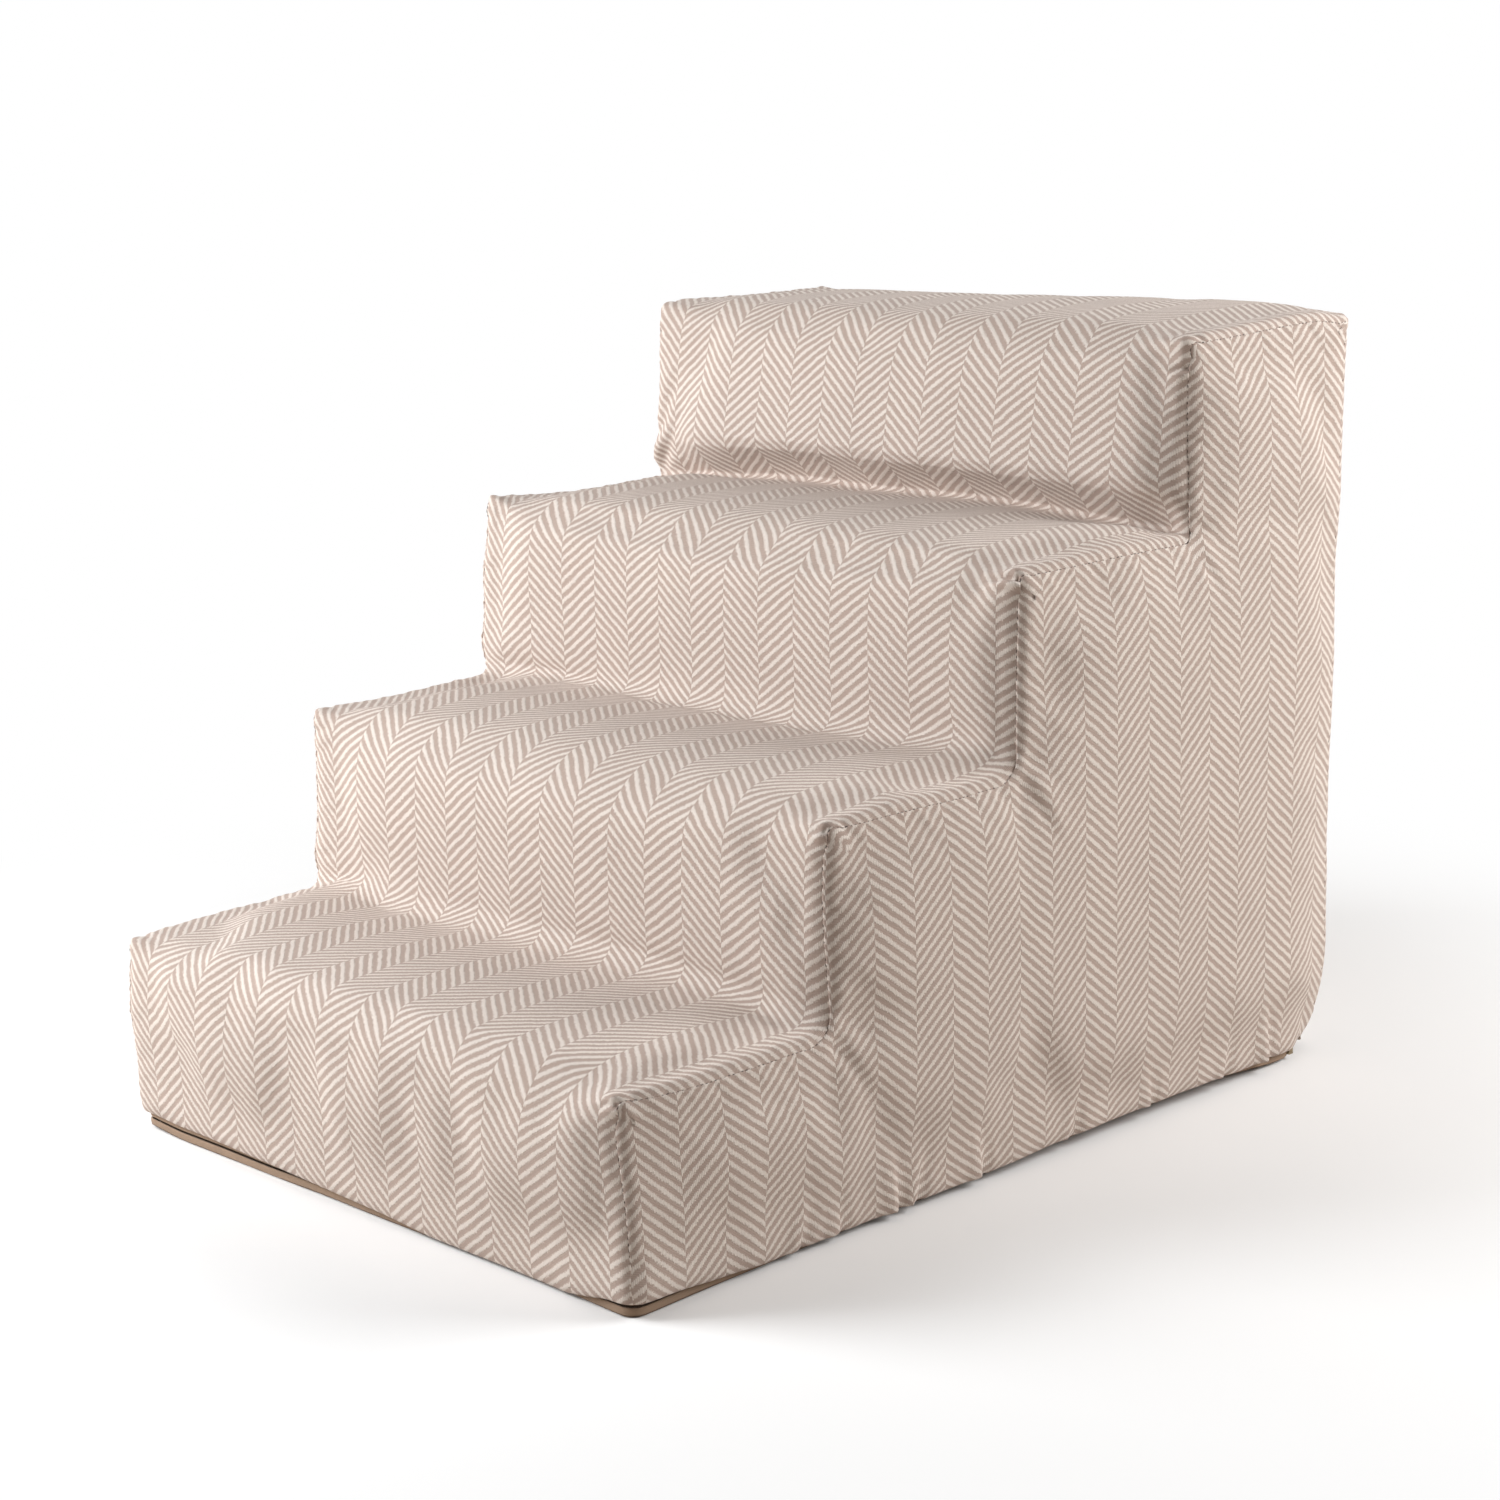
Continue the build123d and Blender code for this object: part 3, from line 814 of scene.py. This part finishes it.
def base_panel():
    """The plain cloth under the foam, in to the zip on three sides and out to the seam at the back."""
    base_half = half_width - tape_recess
    turns = np.linspace(0, math.pi / 2, 7)
    straight = np.linspace(base_low.y + zip_corner, tape_end, round(step_depth * 4 / base_pitch))
    rounded = np.linspace(0, math.pi / 2, 6)
    y = np.concatenate([
        base_low.y + zip_corner * (1 - np.cos(turns)),
        straight[1:],
        back - edge_radius + edge_radius * np.sin(rounded),
    ])
    half = np.concatenate([
        base_half - zip_corner * (1 - np.sin(turns)),
        np.full(len(straight) - 1, base_half),
        half_width - edge_radius * (1 - np.cos(rounded)),
    ])
    share = np.linspace(-1, 1, round(2 * base_half / base_pitch) + 1)
    places = np.empty((len(y), len(share), 3))
    places[..., 0] = half[:, None] * share
    places[..., 1] = y[:, None]
    slant = places[..., 0] + 0.6 * places[..., 1]
    places[..., 2] = base_top / 2 + base_wave * ripple(slant, base_wave_pitch, 0.8)
    flat = places[..., :2].copy()
    faces = [face[::-1] for face in grid_faces(*flat.shape[:2])]
    piece = make_cloth("base_panel_cloth", settle(places), faces, flat)
    return piece


def foot_route(inset, corner, left_end, right_end):
    """The way round the foot seen from above: down the left side, across the front and up the right."""
    side = half_width - inset
    ahead = front + inset
    return Outline([(-side, left_end), (-side, ahead, corner), (side, ahead, corner), (side, right_end)])


def zip_tape(name, bottom, top):
    """A tape of the zip, cupped a little between its two edges."""
    route = foot_route(tape_recess, zip_corner, tape_end, tape_end)
    lengths = np.linspace(0, route.length, round(route.length / column_pitch))
    plan, inward = route.at(lengths)
    rise = np.linspace(0, 1, 6)
    outer = -tape_cup * np.sin(math.pi * rise)
    depth = np.concatenate([outer, tape_thickness + outer[::-1], outer[:1]])
    height = np.concatenate([rise, rise[::-1], rise[:1]])
    bottom, top = bottom + tape_trim, top - tape_trim
    free = np.clip((lengths - (tape_end - front)) / step_depth, 0, 1)
    sway = tape_sway * free * ripple(lengths, tape_sway_pitch, 2.2)
    places = np.empty((len(lengths), len(depth), 3))
    places[..., :2] = plan[:, None] + (depth + sway[:, None])[..., None] * inward[:, None]
    places[..., 2] = bottom + height * (top - bottom) + sway[:, None]
    flat = np.stack(np.broadcast_arrays(lengths[:, None], height * (top - bottom)), -1)
    return make_cloth(name, settle(places), grid_faces(*flat.shape[:2]), flat)


def coil_row(name, level, first_turn):
    """One row of the zip's coil, a nylon thread wound along the tapes behind their edges."""
    inset = tape_recess + tape_thickness + coil_depth / 2
    corner = zip_corner - tape_thickness - coil_depth / 2
    route = foot_route(inset, corner, coil_left_end, coil_right_end)
    steps = round(route.length / coil_pitch) * 6
    lengths = np.linspace(0, route.length, steps)
    turn = 2 * math.pi * lengths / coil_pitch + first_turn
    plan, inward = route.at(lengths)
    forward = np.stack([inward[:, 1], -inward[:, 0]], -1)
    winding = coil_depth / 2 - coil_wire
    places = np.empty((steps, 5, 3))
    for corner_number, (out, on) in enumerate([(1, 0), (0, 1), (-1, 0), (0, -1), (1, 0)]):
        reach = winding + coil_wire * out
        across = reach * np.cos(turn)
        places[:, corner_number, :2] = plan + across[:, None] * inward + coil_wire * on * forward
        places[:, corner_number, 2] = level + reach * np.sin(turn)
    flat = np.stack(np.broadcast_arrays(lengths[:, None], np.zeros(5)), -1)
    return make_cloth(name, settle(places), grid_faces(steps, 5), flat)


def stitches(name, line, normals):
    """Separate stitches along a seam, each bowed down into the cloth at its ends."""
    steps = np.linalg.norm(np.diff(line, axis=0), axis=1)
    lengths = np.concatenate([[0], np.cumsum(steps)])
    middles = np.arange(stitch_pitch, lengths[-1] - stitch_pitch, stitch_pitch)
    stations = np.array([-1.0, -0.62, 0.0, 0.62, 1.0])
    swell = np.array([0.5, 0.95, 1.0, 0.95, 0.5])
    turns = np.linspace(0, 2 * math.pi, 7)[:6]
    corner = np.arange(len(stations) * len(turns)).reshape(len(stations), -1)
    beside = np.roll(corner, -1, axis=1)
    wall = np.stack([corner[:-1], beside[:-1], beside[1:], corner[1:]], -1).reshape(-1, 4)
    places, faces = [], []
    for number, middle in enumerate(middles):
        at = middle + stations * stitch_length / 2
        centre = np.stack([np.interp(at, lengths, line[:, axis]) for axis in range(3)], -1)
        upward = np.array([np.interp(middle, lengths, normals[:, axis]) for axis in range(3)])
        ahead = centre[-1] - centre[0]
        ahead /= np.linalg.norm(ahead)
        aside = np.cross(ahead, upward)
        centre -= upward * (thread_radius * 1.2 * stations ** 2)[:, None]
        ring = np.cos(turns)[:, None] * aside + np.sin(turns)[:, None] * upward
        places.append((centre[:, None] + ring * (thread_radius * swell)[:, None, None]).reshape(-1, 3))
        for face in (*wall, corner[0, ::-1], corner[-1]):
            faces.append((face + number * corner.size).tolist())
    places = np.concatenate(places)
    return make_cloth(name, places, faces, places[:, :2])


def back_line(level):
    """The way across the back at one level and round both upright edges, with its outward normals."""
    route = Outline([
        (-half_width, tape_end),
        (-half_width, back, edge_radius),
        (half_width, back, edge_radius),
        (half_width, tape_end),
    ])
    lengths = np.linspace(0, route.length, round(route.length / column_pitch))
    plan, outward = route.at(lengths)
    normals = np.column_stack([outward, np.zeros(len(lengths))])
    line = np.column_stack([plan, np.full(len(lengths), level)]) - normals * seam_dip
    return settle(line), normals


def block(name, low, high):
    """A plain block between two corners."""
    bpy.ops.mesh.primitive_cube_add(size=1, location=(low + high) / 2)
    piece = bpy.context.object
    piece.name = name
    piece.scale = high - low
    return piece


def remesh(piece, pitch):
    """Makes a block an even mesh, once its scale is applied."""
    grain = piece.modifiers.new("grain", "REMESH")
    grain.mode = "VOXEL"
    grain.voxel_size = pitch
    bpy.ops.object.modifier_apply(modifier="grain")


def round_edges(piece, chosen, radius, segments):
    """Rounds the edges whose two ends a test chooses."""
    for edge in piece.data.edges:
        edge.select = chosen(*[piece.data.vertices[number].co for number in edge.vertices])
    bpy.ops.object.mode_set(mode="EDIT")
    bpy.ops.mesh.select_mode(type="EDGE")
    bpy.ops.mesh.bevel(offset=radius, segments=segments)
    bpy.ops.object.mode_set(mode="OBJECT")


def points_of(piece):
    """The places of a piece's corners."""
    places = np.empty(len(piece.data.vertices) * 3, np.float32)
    piece.data.vertices.foreach_get("co", places)
    return places.reshape(-1, 3).astype(float)


def place_points(piece, places):
    """Puts a piece's corners in new places."""
    piece.data.vertices.foreach_set("co", places.astype(np.float32).ravel())
    piece.data.update()


def foam_slab(name, low, high):
    """One slab of the core: a block with a rounded nose and soft edges, remeshed as even foam."""
    room = Vector((1, 1, 1)) * foam_room
    slab = block(name, low + room, high - room)
    bpy.ops.object.transform_apply(location=True, rotation=True, scale=True)
    middle = (low + high) / 2

    def at_nose(*ends):
        return all(end.y < middle.y and end.z > middle.z for end in ends)

    def soft(*ends):
        at_foot = all(end.y < middle.y and end.z < middle.z for end in ends)
        return abs(ends[0].x - ends[1].x) < hair or at_foot

    round_edges(slab, at_nose, nose_radius, 6)
    round_edges(slab, soft, foam_edge, 3)
    remesh(slab, foam_grain)
    soften = slab.modifiers.new("soften", "SMOOTH")
    soften.iterations = 2
    bpy.ops.object.modifier_apply(modifier="soften")
    place_points(slab, settle(points_of(slab)))
    bpy.ops.object.shade_smooth()
    bpy.ops.object.select_all(action="DESELECT")
    return slab


def tree_of(places):
    """A search tree over places."""
    tree = KDTree(len(places))
    for number, place in enumerate(places):
        tree.insert(place, number)
    tree.balance()
    return tree


def simulated_cover(held_lines):
    """Lets the cover out a little over its foam, held along its seams and foot, and simulates it.

    The simulation runs on one coarse closed block in the shape of the stairs. Returns the
    block's places and how far each of them moved.
    """
    for riser, level in zip(riser_faces, tread_levels):
        shell = block("cover_copy", Vector((-half_width, riser, 0)), Vector((half_width, back, level)))
    for other in bpy.data.objects:
        other.select_set(other.name.startswith("cover_copy"))
    bpy.ops.object.join()
    bpy.ops.object.transform_apply(location=True, rotation=True, scale=True)
    remesh(shell, shell_pitch)

    rest = points_of(shell)
    outward = np.array([corner.normal[:] for corner in shell.data.vertices])
    seams = tree_of(np.concatenate(held_lines))
    held = shell.vertex_groups.new(name="held")
    for number, place in enumerate(rest):
        hold = seam_firm_share - seams.find(place)[2] / seam_hold
        hold = max(hold, foot_firm_share - place[2] / foot_start)
        held.add([number], min(max(hold, 0.0), 1.0), "REPLACE")
    cloth = shell.modifiers.new("cloth", "CLOTH")
    cloth.settings.vertex_group_mass = "held"
    cloth.settings.use_pressure = True
    cloth.settings.uniform_pressure_force = shell_pressure
    cloth.settings.shrink_min = -shell_let_out
    cloth.settings.bending_stiffness = 1.0
    cloth.settings.effector_weights.gravity = 0
    for number in range(1, shell_frames + 1):
        bpy.context.scene.frame_set(number)
    seen = shell.evaluated_get(bpy.context.evaluated_depsgraph_get())
    moved = points_of(seen)
    bpy.context.scene.frame_set(1)
    edges = np.array([edge.vertices[:] for edge in shell.data.edges])
    bpy.data.objects.remove(shell)

    shift = moved - rest
    for _ in range(shell_rounds):
        total = np.zeros_like(shift)
        count = np.zeros(len(shift))
        for near, far in ((0, 1), (1, 0)):
            np.add.at(total, edges[:, near], shift[edges[:, far]])
            np.add.at(count, edges[:, near], 1)
        shift = 0.5 * shift + 0.5 * total / np.maximum(count, 1)[:, None]
    sunk = np.einsum("ij,ij->i", shift, outward) + shell_give
    shift -= np.minimum(sunk, 0)[:, None] * outward
    on_top = np.clip((rest[:, 2] - tread_levels[3] + shell_top_depth) / shell_top_fade, 0, 1)
    shift *= (1 - (1 - shell_top_share) * on_top)[:, None]
    size = np.linalg.norm(shift, axis=1)
    shift *= (shell_reach * np.tanh(size / shell_reach) / np.maximum(size, 1e-9))[:, None]
    return rest, shift


def follow_cover(piece, tree, shift):
    """Moves a fine cloth piece as the simulated copy moved round it."""
    places = points_of(piece)
    for number, place in enumerate(places):
        near = tree.find_n(place, shell_near)
        weights = [math.exp(-((gap / shell_pitch) ** 2)) for _, _, gap in near]
        drawn = sum(weight * shift[index] for weight, (_, index, _) in zip(weights, near))
        places[number] += drawn / sum(weights)
    place_points(piece, places)


def operator(name):
    """A Math node's operation as it is written between two terms, and its reflected form."""
    return (
        lambda self, other: self.maths(name, self, other),
        lambda self, other: self.maths(name, other, self),
    )


class Value:
    """A shader socket that adds a Math node for every sum that is written with it."""

    __add__, __radd__ = operator("ADD")
    __sub__, __rsub__ = operator("SUBTRACT")
    __mul__, __rmul__ = operator("MULTIPLY")
    __truediv__ = operator("DIVIDE")[0]

    def __init__(self, nodes, socket):
        self.nodes = nodes
        self.socket = socket

    def maths(self, operation, *terms):
        return self.nodes.value("Math", {"operation": operation}, dict(enumerate(terms)))

    def floor(self):
        return self.maths("FLOOR", self)

    def fraction(self):
        return self.maths("FRACT", self)

    def sine(self):
        return self.maths("SINE", self)

    def rise(self, low, high):
        """From 0 below one value to 1 above another, smoothly."""
        sockets = {"Value": self, "From Min": low, "From Max": high}
        return self.nodes.value("MapRange", {"interpolation_type": "SMOOTHSTEP"}, sockets)


class Nodes:
    """The nodes of a material or of the world."""

    def __init__(self, tree):
        self.tree = tree

    def node(self, kind, settings=None, sockets=None):
        node = self.tree.nodes.new("ShaderNode" + kind)
        for name, setting in (settings or {}).items():
            setattr(node, name, setting)
        for name, value in (sockets or {}).items():
            self.feed(node.inputs[name], value)
        return node

    def feed(self, socket, value):
        if isinstance(value, Value):
            value = value.socket
        if isinstance(value, bpy.types.NodeSocket):
            self.tree.links.new(value, socket)
        else:
            socket.default_value = value

    def value(self, kind, settings=None, sockets=None, output=0):
        return Value(self, self.node(kind, settings, sockets).outputs[output])

    def noise(self, place, scale, detail):
        return self.value("TexNoise", None, {"Vector": place, "Scale": scale, "Detail": detail})

    def blend(self, share, first, second):
        """A colour between two others."""
        node = self.node("Mix", {"data_type": "RGBA"}, {0: share, 6: first, 7: second})
        return node.outputs[2]

    def shade(self, colour, amount):
        """A colour made lighter or darker by an amount round 1."""
        grey = self.node("CombineColor", None, {0: amount, 1: amount, 2: amount}).outputs[0]
        node = self.node("Mix", {"data_type": "RGBA", "blend_type": "MULTIPLY"}, {0: 1.0, 6: colour, 7: grey})
        return node.outputs[2]

    def seen(self):
        """1 for what the camera sees, also in a mirror or through glass, and 0 for the light that falls."""
        path = self.node("LightPath")
        seen = Value(self, path.outputs["Is Camera Ray"])
        for kind in ("Is Glossy Ray", "Is Transmission Ray"):
            seen = seen.maths("MAXIMUM", seen, Value(self, path.outputs[kind]))
        return seen


class Finish(Nodes):
    """One material, built from nodes round its surface shader."""

    def __init__(self, name, roughness, **constants):
        self.material = bpy.data.materials.new(name)
        self.material.use_nodes = True
        super().__init__(self.material.node_tree)
        self.surface = self.tree.nodes["Principled BSDF"]
        self.give("Roughness", roughness)
        for socket, value in constants.items():
            self.give(socket.replace("_", " "), value)

    def give(self, socket, value):
        self.feed(self.surface.inputs[socket], value)

    def place(self):
        """Where a point lies on the object."""
        return self.node("TexCoord").outputs["Object"]

    def weave(self):
        """The place in the flat cloth, and the ways across and along it."""
        flat = self.node("UVMap", {"uv_map": "weave"}).outputs[0]
        parts = self.node("SeparateXYZ", None, {0: flat})
        return flat, Value(self, parts.outputs[0]), Value(self, parts.outputs[1])

    def finished(self, colour, height, depth):
        """The material with its colour, and with relief from a height of 0 to 1, of a depth in metres."""
        self.give("Base Color", colour)
        sockets = {"Height": height, "Distance": depth, "Strength": 1.0}
        self.give("Normal", self.node("Bump", None, sockets).outputs[0])
        return self.material


def plain_colour(red, green, blue):
    """A colour written as 0 to 255 on screen, as the shader takes it."""
    channels = [channel / 255 for channel in (red, green, blue)]
    return (*[((c + 0.055) / 1.055) ** 2.4 if c > 0.04045 else c / 12.92 for c in channels], 1.0)


# How deep the fine relief of each finish is
herringbone_relief = 0.00035
plain_relief = 0.0002
thread_relief = 0.0001
foam_relief = 0.0005
nylon_relief = 0.00005
zinc_relief = 0.00003

# Yarns of the plain cloths
base_yarn = 0.0011
tape_yarn = 0.0007

# The herringbone: from stripe to stripe along a column, how far they climb in it, the cream's
# share and its soft edges, the width of a yarn, and where a column starts and how wide it is
stripe_pitch = 0.00665
stripe_climb = 0.0228
cream_share = 0.44
stripe_edge = 0.20
yarn_pitch = 0.00095
strip_columns = (-0.2035, 0.0285)
side_columns = (-0.2621, 0.0282)
cream_tone = plain_colour(232, 221, 212)
taupe_tone = plain_colour(187, 167, 156)


def herringbone(name, first_column, column_width):
    """Woven herringbone: cream stripes on taupe that climb and fall in columns, broken between them."""
    cloth = Finish(name, 0.9, Sheen_Weight=0.12, Sheen_Roughness=0.4, Specular_IOR_Level=0.25)
    flat, across, along = cloth.weave()
    coarse = cloth.noise(flat, 90.0, 2.0)
    fine = cloth.noise(flat, 900.0, 2.0)

    yarn = across / yarn_pitch
    stepped = (yarn.floor() + 0.5) * yarn_pitch * 0.85 + across * 0.15
    column = (stepped - first_column) / column_width
    broken = column.floor() * 0.5
    climb = column.maths("PINGPONG", column, 1.0) * (stripe_climb / stripe_pitch)
    wander = (coarse - 0.5) * 0.34 + (fine - 0.5) * 0.45
    phase = (along / stripe_pitch - climb + broken + wander).fraction()
    cream = phase.rise(0.0, stripe_edge) - (phase - cream_share).rise(0.0, stripe_edge)

    warp = yarn.fraction() * (1 - yarn.fraction()) * 4
    pick = along / (yarn_pitch * 0.9)
    weft = pick.fraction() * (1 - pick.fraction()) * 4
    floats = warp * cream + weft * (1 - cream)
    patches = cloth.noise(flat, 22.0, 3.0)
    # The floats term lights each yarn's crown and darkens the hollows between yarns as painted shade; patches
    # and fine add the cloth's own uneven tone.
    tone = 0.90 + floats * 0.08 + (patches - 0.5) * 0.12 + (fine - 0.5) * 0.24
    colour = cloth.shade(cloth.blend(cream, taupe_tone, cream_tone), tone)
    return cloth.finished(colour, cream * 0.55 + floats * 0.3 + fine * 0.15, herringbone_relief)


def plain_weave(name, colour, pitch, roughness):
    """A plain woven cloth or tape: yarns over and under each other, with a little unevenness."""
    cloth = Finish(name, roughness, Sheen_Weight=0.1, Sheen_Roughness=0.4, Specular_IOR_Level=0.3)
    flat, across, along = cloth.weave()
    uneven = cloth.noise(flat, 60.0, 3.0)
    fine = cloth.noise(flat, 1500.0, 2.0)
    turn = 2 * math.pi / pitch
    over = (across * turn).sine() * (along * turn).sine()
    # The over term paints yarns lying over lighter and yarns lying under darker as painted shade of the
    # weave; uneven and fine add the cloth's own uneven tone.
    shaded = cloth.shade(colour, 0.82 + over * 0.07 + uneven * 0.26 + (fine - 0.5) * 0.12)
    return cloth.finished(shaded, over * 0.4 + 0.5 + (fine - 0.5) * 0.2, plain_relief)


def sewing_thread():
    """Twisted polyester thread, dark brown partly as painted shade of the seam's groove, with painted shade
    in the grooves between its plies.
    """
    thread = Finish("sewing_thread", 0.55, Sheen_Weight=0.2, Specular_IOR_Level=0.4)
    parts = thread.node("SeparateXYZ", None, {0: thread.place()}).outputs
    lean = Value(thread, parts[0]) + Value(thread, parts[1]) + Value(thread, parts[2])
    ply = (lean * (2 * math.pi / ply_pitch)).sine() * 0.5 + 0.5
    # The dark brown is partly painted shade of the seam's groove, and ply darkens the grooves between the
    # plies as painted shade.
    return thread.finished(thread.shade(plain_colour(84, 70, 61), 0.85 + ply * 0.2), ply, thread_relief)


def open_cell_foam():
    """Cream polyurethane foam, with open cells that catch the light, and painted shade that darkens the
    hollow of each cell.
    """
    foam = Finish("open_cell_foam", 0.95, Specular_IOR_Level=0.2)
    place = foam.place()
    cells = foam.value("TexVoronoi", None, {"Vector": place, "Scale": 700.0})
    pores = foam.noise(place, 260.0, 4.0)
    drift = foam.noise(place, 9.0, 3.0)
    # cells paints each cell's hollow darker than its rim as painted shade; pores and drift add the foam's own
    # uneven tone.
    tone = foam.shade(plain_colour(244, 236, 208), 0.84 + cells * 0.14 + (pores - 0.5) * 0.1 + drift * 0.1)
    return foam.finished(tone, cells * 0.6 + pores * 0.4, foam_relief)


def coil_nylon():
    """The zip's nylon coil, drawn thread with a dull shine."""
    nylon = Finish("coil_nylon", 0.4, Specular_IOR_Level=0.5)
    drawn = nylon.noise(nylon.place(), 800.0, 2.0)
    nylon.give("Roughness", 0.32 + drawn * 0.2)
    tone = nylon.shade(plain_colour(112, 94, 78), 0.85 + drawn * 0.3)
    return nylon.finished(tone, drawn, nylon_relief)


def plated_zinc():
    """Die-cast zinc with an antique plating, rubbed brighter in places."""
    zinc = Finish("plated_zinc", 0.35, Metallic=1.0)
    place = zinc.place()
    rubbed = zinc.noise(place, 220.0, 4.0)
    grain = zinc.noise(place, 2600.0, 3.0)
    zinc.give("Roughness", 0.24 + rubbed * 0.16 + grain * 0.12)
    tone = zinc.blend(rubbed.rise(0.4, 0.65), plain_colour(138, 122, 98), plain_colour(186, 174, 150))
    return zinc.finished(zinc.shade(tone, 0.92 + grain * 0.16), grain, zinc_relief)


# The studio: white as it is seen, the light that its surround and its floor give, and how far
# from the stairs the floor fades to white
white = (1.0, 1.0, 1.0, 1.0)
surround_strength = 0.20
surround_tint = (1.0, 0.94, 0.88, 1.0)
floor_tint = (0.60, 0.55, 0.50, 1.0)
floor_seen = (0.96, 0.96, 0.96, 1.0)
floor_size = 12
floor_fade = (0.42, 0.85)
daylight = (0.96, 0.98, 1.0)

# Each lamp: its place, what it faces, its size, its power and its colour
lamps = {
    "front_left_lamp": ((-1.0, -1.05, 0.75), (0, -0.1, 0.25), 0.9, 23.5, daylight),
    "high_left_lamp": ((-1.0, -1.2, 1.35), (0, -0.1, 0.25), 1.0, 12.5, daylight),
    "back_right_lamp": ((1.05, 1.0, 0.9), (0.2, 0.1, 0.25), 1.0, 23.0, white[:3]),
}


def lit_floor():
    """A plain pale floor that shows white where it is lit and keeps the object's shadow."""
    bpy.ops.mesh.primitive_plane_add(size=floor_size, location=(0, 0, 0))
    floor = bpy.context.object
    floor.name = "floor"
    finish = Finish("pale_floor", 0.9, Specular_IOR_Level=0.1)
    seen = finish.seen()
    finish.give("Base Color", finish.blend(seen, floor_tint, floor_seen))
    away = finish.value("VectorMath", {"operation": "LENGTH"}, {0: finish.place()}, "Value")
    glow = finish.node("Emission", None, {"Color": white, "Strength": 1.0}).outputs[0]
    sockets = {0: away.rise(*floor_fade) * seen, 1: finish.surface.outputs[0], 2: glow}
    whole = finish.node("MixShader", None, sockets).outputs[0]
    finish.feed(finish.tree.nodes["Material Output"].inputs["Surface"], whole)
    floor.data.materials.append(finish.material)


def studio():
    """Plain soft light: an even surround, two broad lamps ahead on the left and one behind on the right."""
    world = bpy.data.worlds.new("studio")
    world.use_nodes = True
    bpy.context.scene.world = world
    surround = Nodes(world.node_tree)
    background = surround.tree.nodes["Background"].inputs
    seen = surround.seen()
    strength = surround.value("Mix", None, {0: seen, 2: surround_strength, 3: 1.0})
    surround.feed(background["Strength"], strength)
    surround.feed(background["Color"], surround.blend(seen, surround_tint, white))
    for name, (place, aim, size, power, colour) in lamps.items():
        lamp = bpy.data.lights.new(name, "AREA")
        lamp.size = size
        lamp.energy = power
        lamp.color = colour
        holder = bpy.data.objects.new(name, lamp)
        holder.location = place
        holder.rotation_euler = (Vector(aim) - Vector(place)).to_track_quat("-Z", "Y").to_euler()
        bpy.context.scene.collection.objects.link(holder)


# The camera, where the photograph was taken from: its place, and its turns in degrees
camera_place = (1.356, -1.312, 0.636)
camera_round = 45.77
camera_down = 12.66
camera_lean = -1.33
camera_lens = 77.0
camera_film = 36.0


def photographer():
    """The camera that sees the stairs as the photograph does."""
    turn = Matrix.Translation(camera_place)
    for degrees, axis in ((camera_round, "Z"), (90 - camera_down, "X"), (camera_lean, "Z")):
        turn = turn @ Matrix.Rotation(math.radians(degrees), 4, axis)
    camera = bpy.data.cameras.new("camera")
    camera.lens = camera_lens
    camera.sensor_width = camera_film
    holder = bpy.data.objects.new("camera", camera)
    holder.matrix_world = turn
    bpy.context.scene.collection.objects.link(holder)
    bpy.context.scene.camera = holder


strip_finish = herringbone("strip_herringbone", *strip_columns)
side_finish = herringbone("side_herringbone", *side_columns)
base_finish = plain_weave("base_weave", plain_colour(158, 134, 114), base_yarn, 0.9)
tape_finish = plain_weave("tape_weave", plain_colour(168, 142, 120), tape_yarn, 0.8)
thread_finish = sewing_thread()
foam_finish = open_cell_foam()
nylon_finish = coil_nylon()
zinc_finish = plated_zinc()


def dress(piece, node, finish):
    """Gives a piece its finish, makes it ride on the stairs and puts it in place of its CAD node."""
    piece.data.materials.append(finish)
    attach(piece, "stairs")
    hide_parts(node)
    return piece


for number, (low, high) in enumerate(slab_boxes):
    dress(foam_slab(foam_names[number], low, high), f"foam_slab_{number + 1}", foam_finish)
cover = [dress(tread_strip(), "tread_strip", strip_finish), dress(back_panel(), "back_panel", side_finish)]
dress(base_panel(), "base_panel", base_finish)
sewn = {}
for side, hand in ((-1, "left"), (1, "right")):
    panel, *sewn[hand] = side_panel(f"side_panel_{hand}_cloth", side)
    cover.append(dress(panel, f"side_panel_{hand}", side_finish))
    sewing = stitches(f"seam_stitches_{hand}", *sewn[hand])
    cover.append(dress(sewing, f"seam_thread_{hand}", thread_finish))
for place, level in (("back", back_seam_level + lip_radius), ("base", base_top + lip_radius)):
    sewing = stitches(f"seam_stitches_{place}", *back_line(level))
    cover.append(dress(sewing, f"seam_thread_{place}", thread_finish))
held_lines = [sewn["left"][0], sewn["right"][0], back_line(back_seam_level)[0]]
shell_places, shell_shift = simulated_cover(held_lines)
shell_tree = tree_of(shell_places)
for piece in cover:
    follow_cover(piece, shell_tree, shell_shift)
for row, bottom, top in (("lower", base_top / 2, lower_high.z), ("upper", upper_low.z, upper_high.z)):
    dress(zip_tape(f"zip_tape_{row}_band", bottom, top), f"zip_tape_{row}", tape_finish)
zip_middle = (lower_high.z + upper_low.z) / 2
coil_rise = (coil_high.z - coil_low.z) / 2 - coil_mesh
for row, rise, first_turn in (("lower", -coil_rise, 0.0), ("upper", coil_rise, math.pi)):
    winding = coil_row(f"coil_row_{row}_winding", zip_middle + rise, first_turn)
    dress(winding, f"coil_row_{row}", nylon_finish)
for node in ("slider_body", "pull_tab", "top_stops", "bottom_stop"):
    for slot in frame["nodes"][node].material_slots:
        slot.material = zinc_finish

bpy.context.scene.view_settings.view_transform = "Standard"
studio()
lit_floor()
photographer()
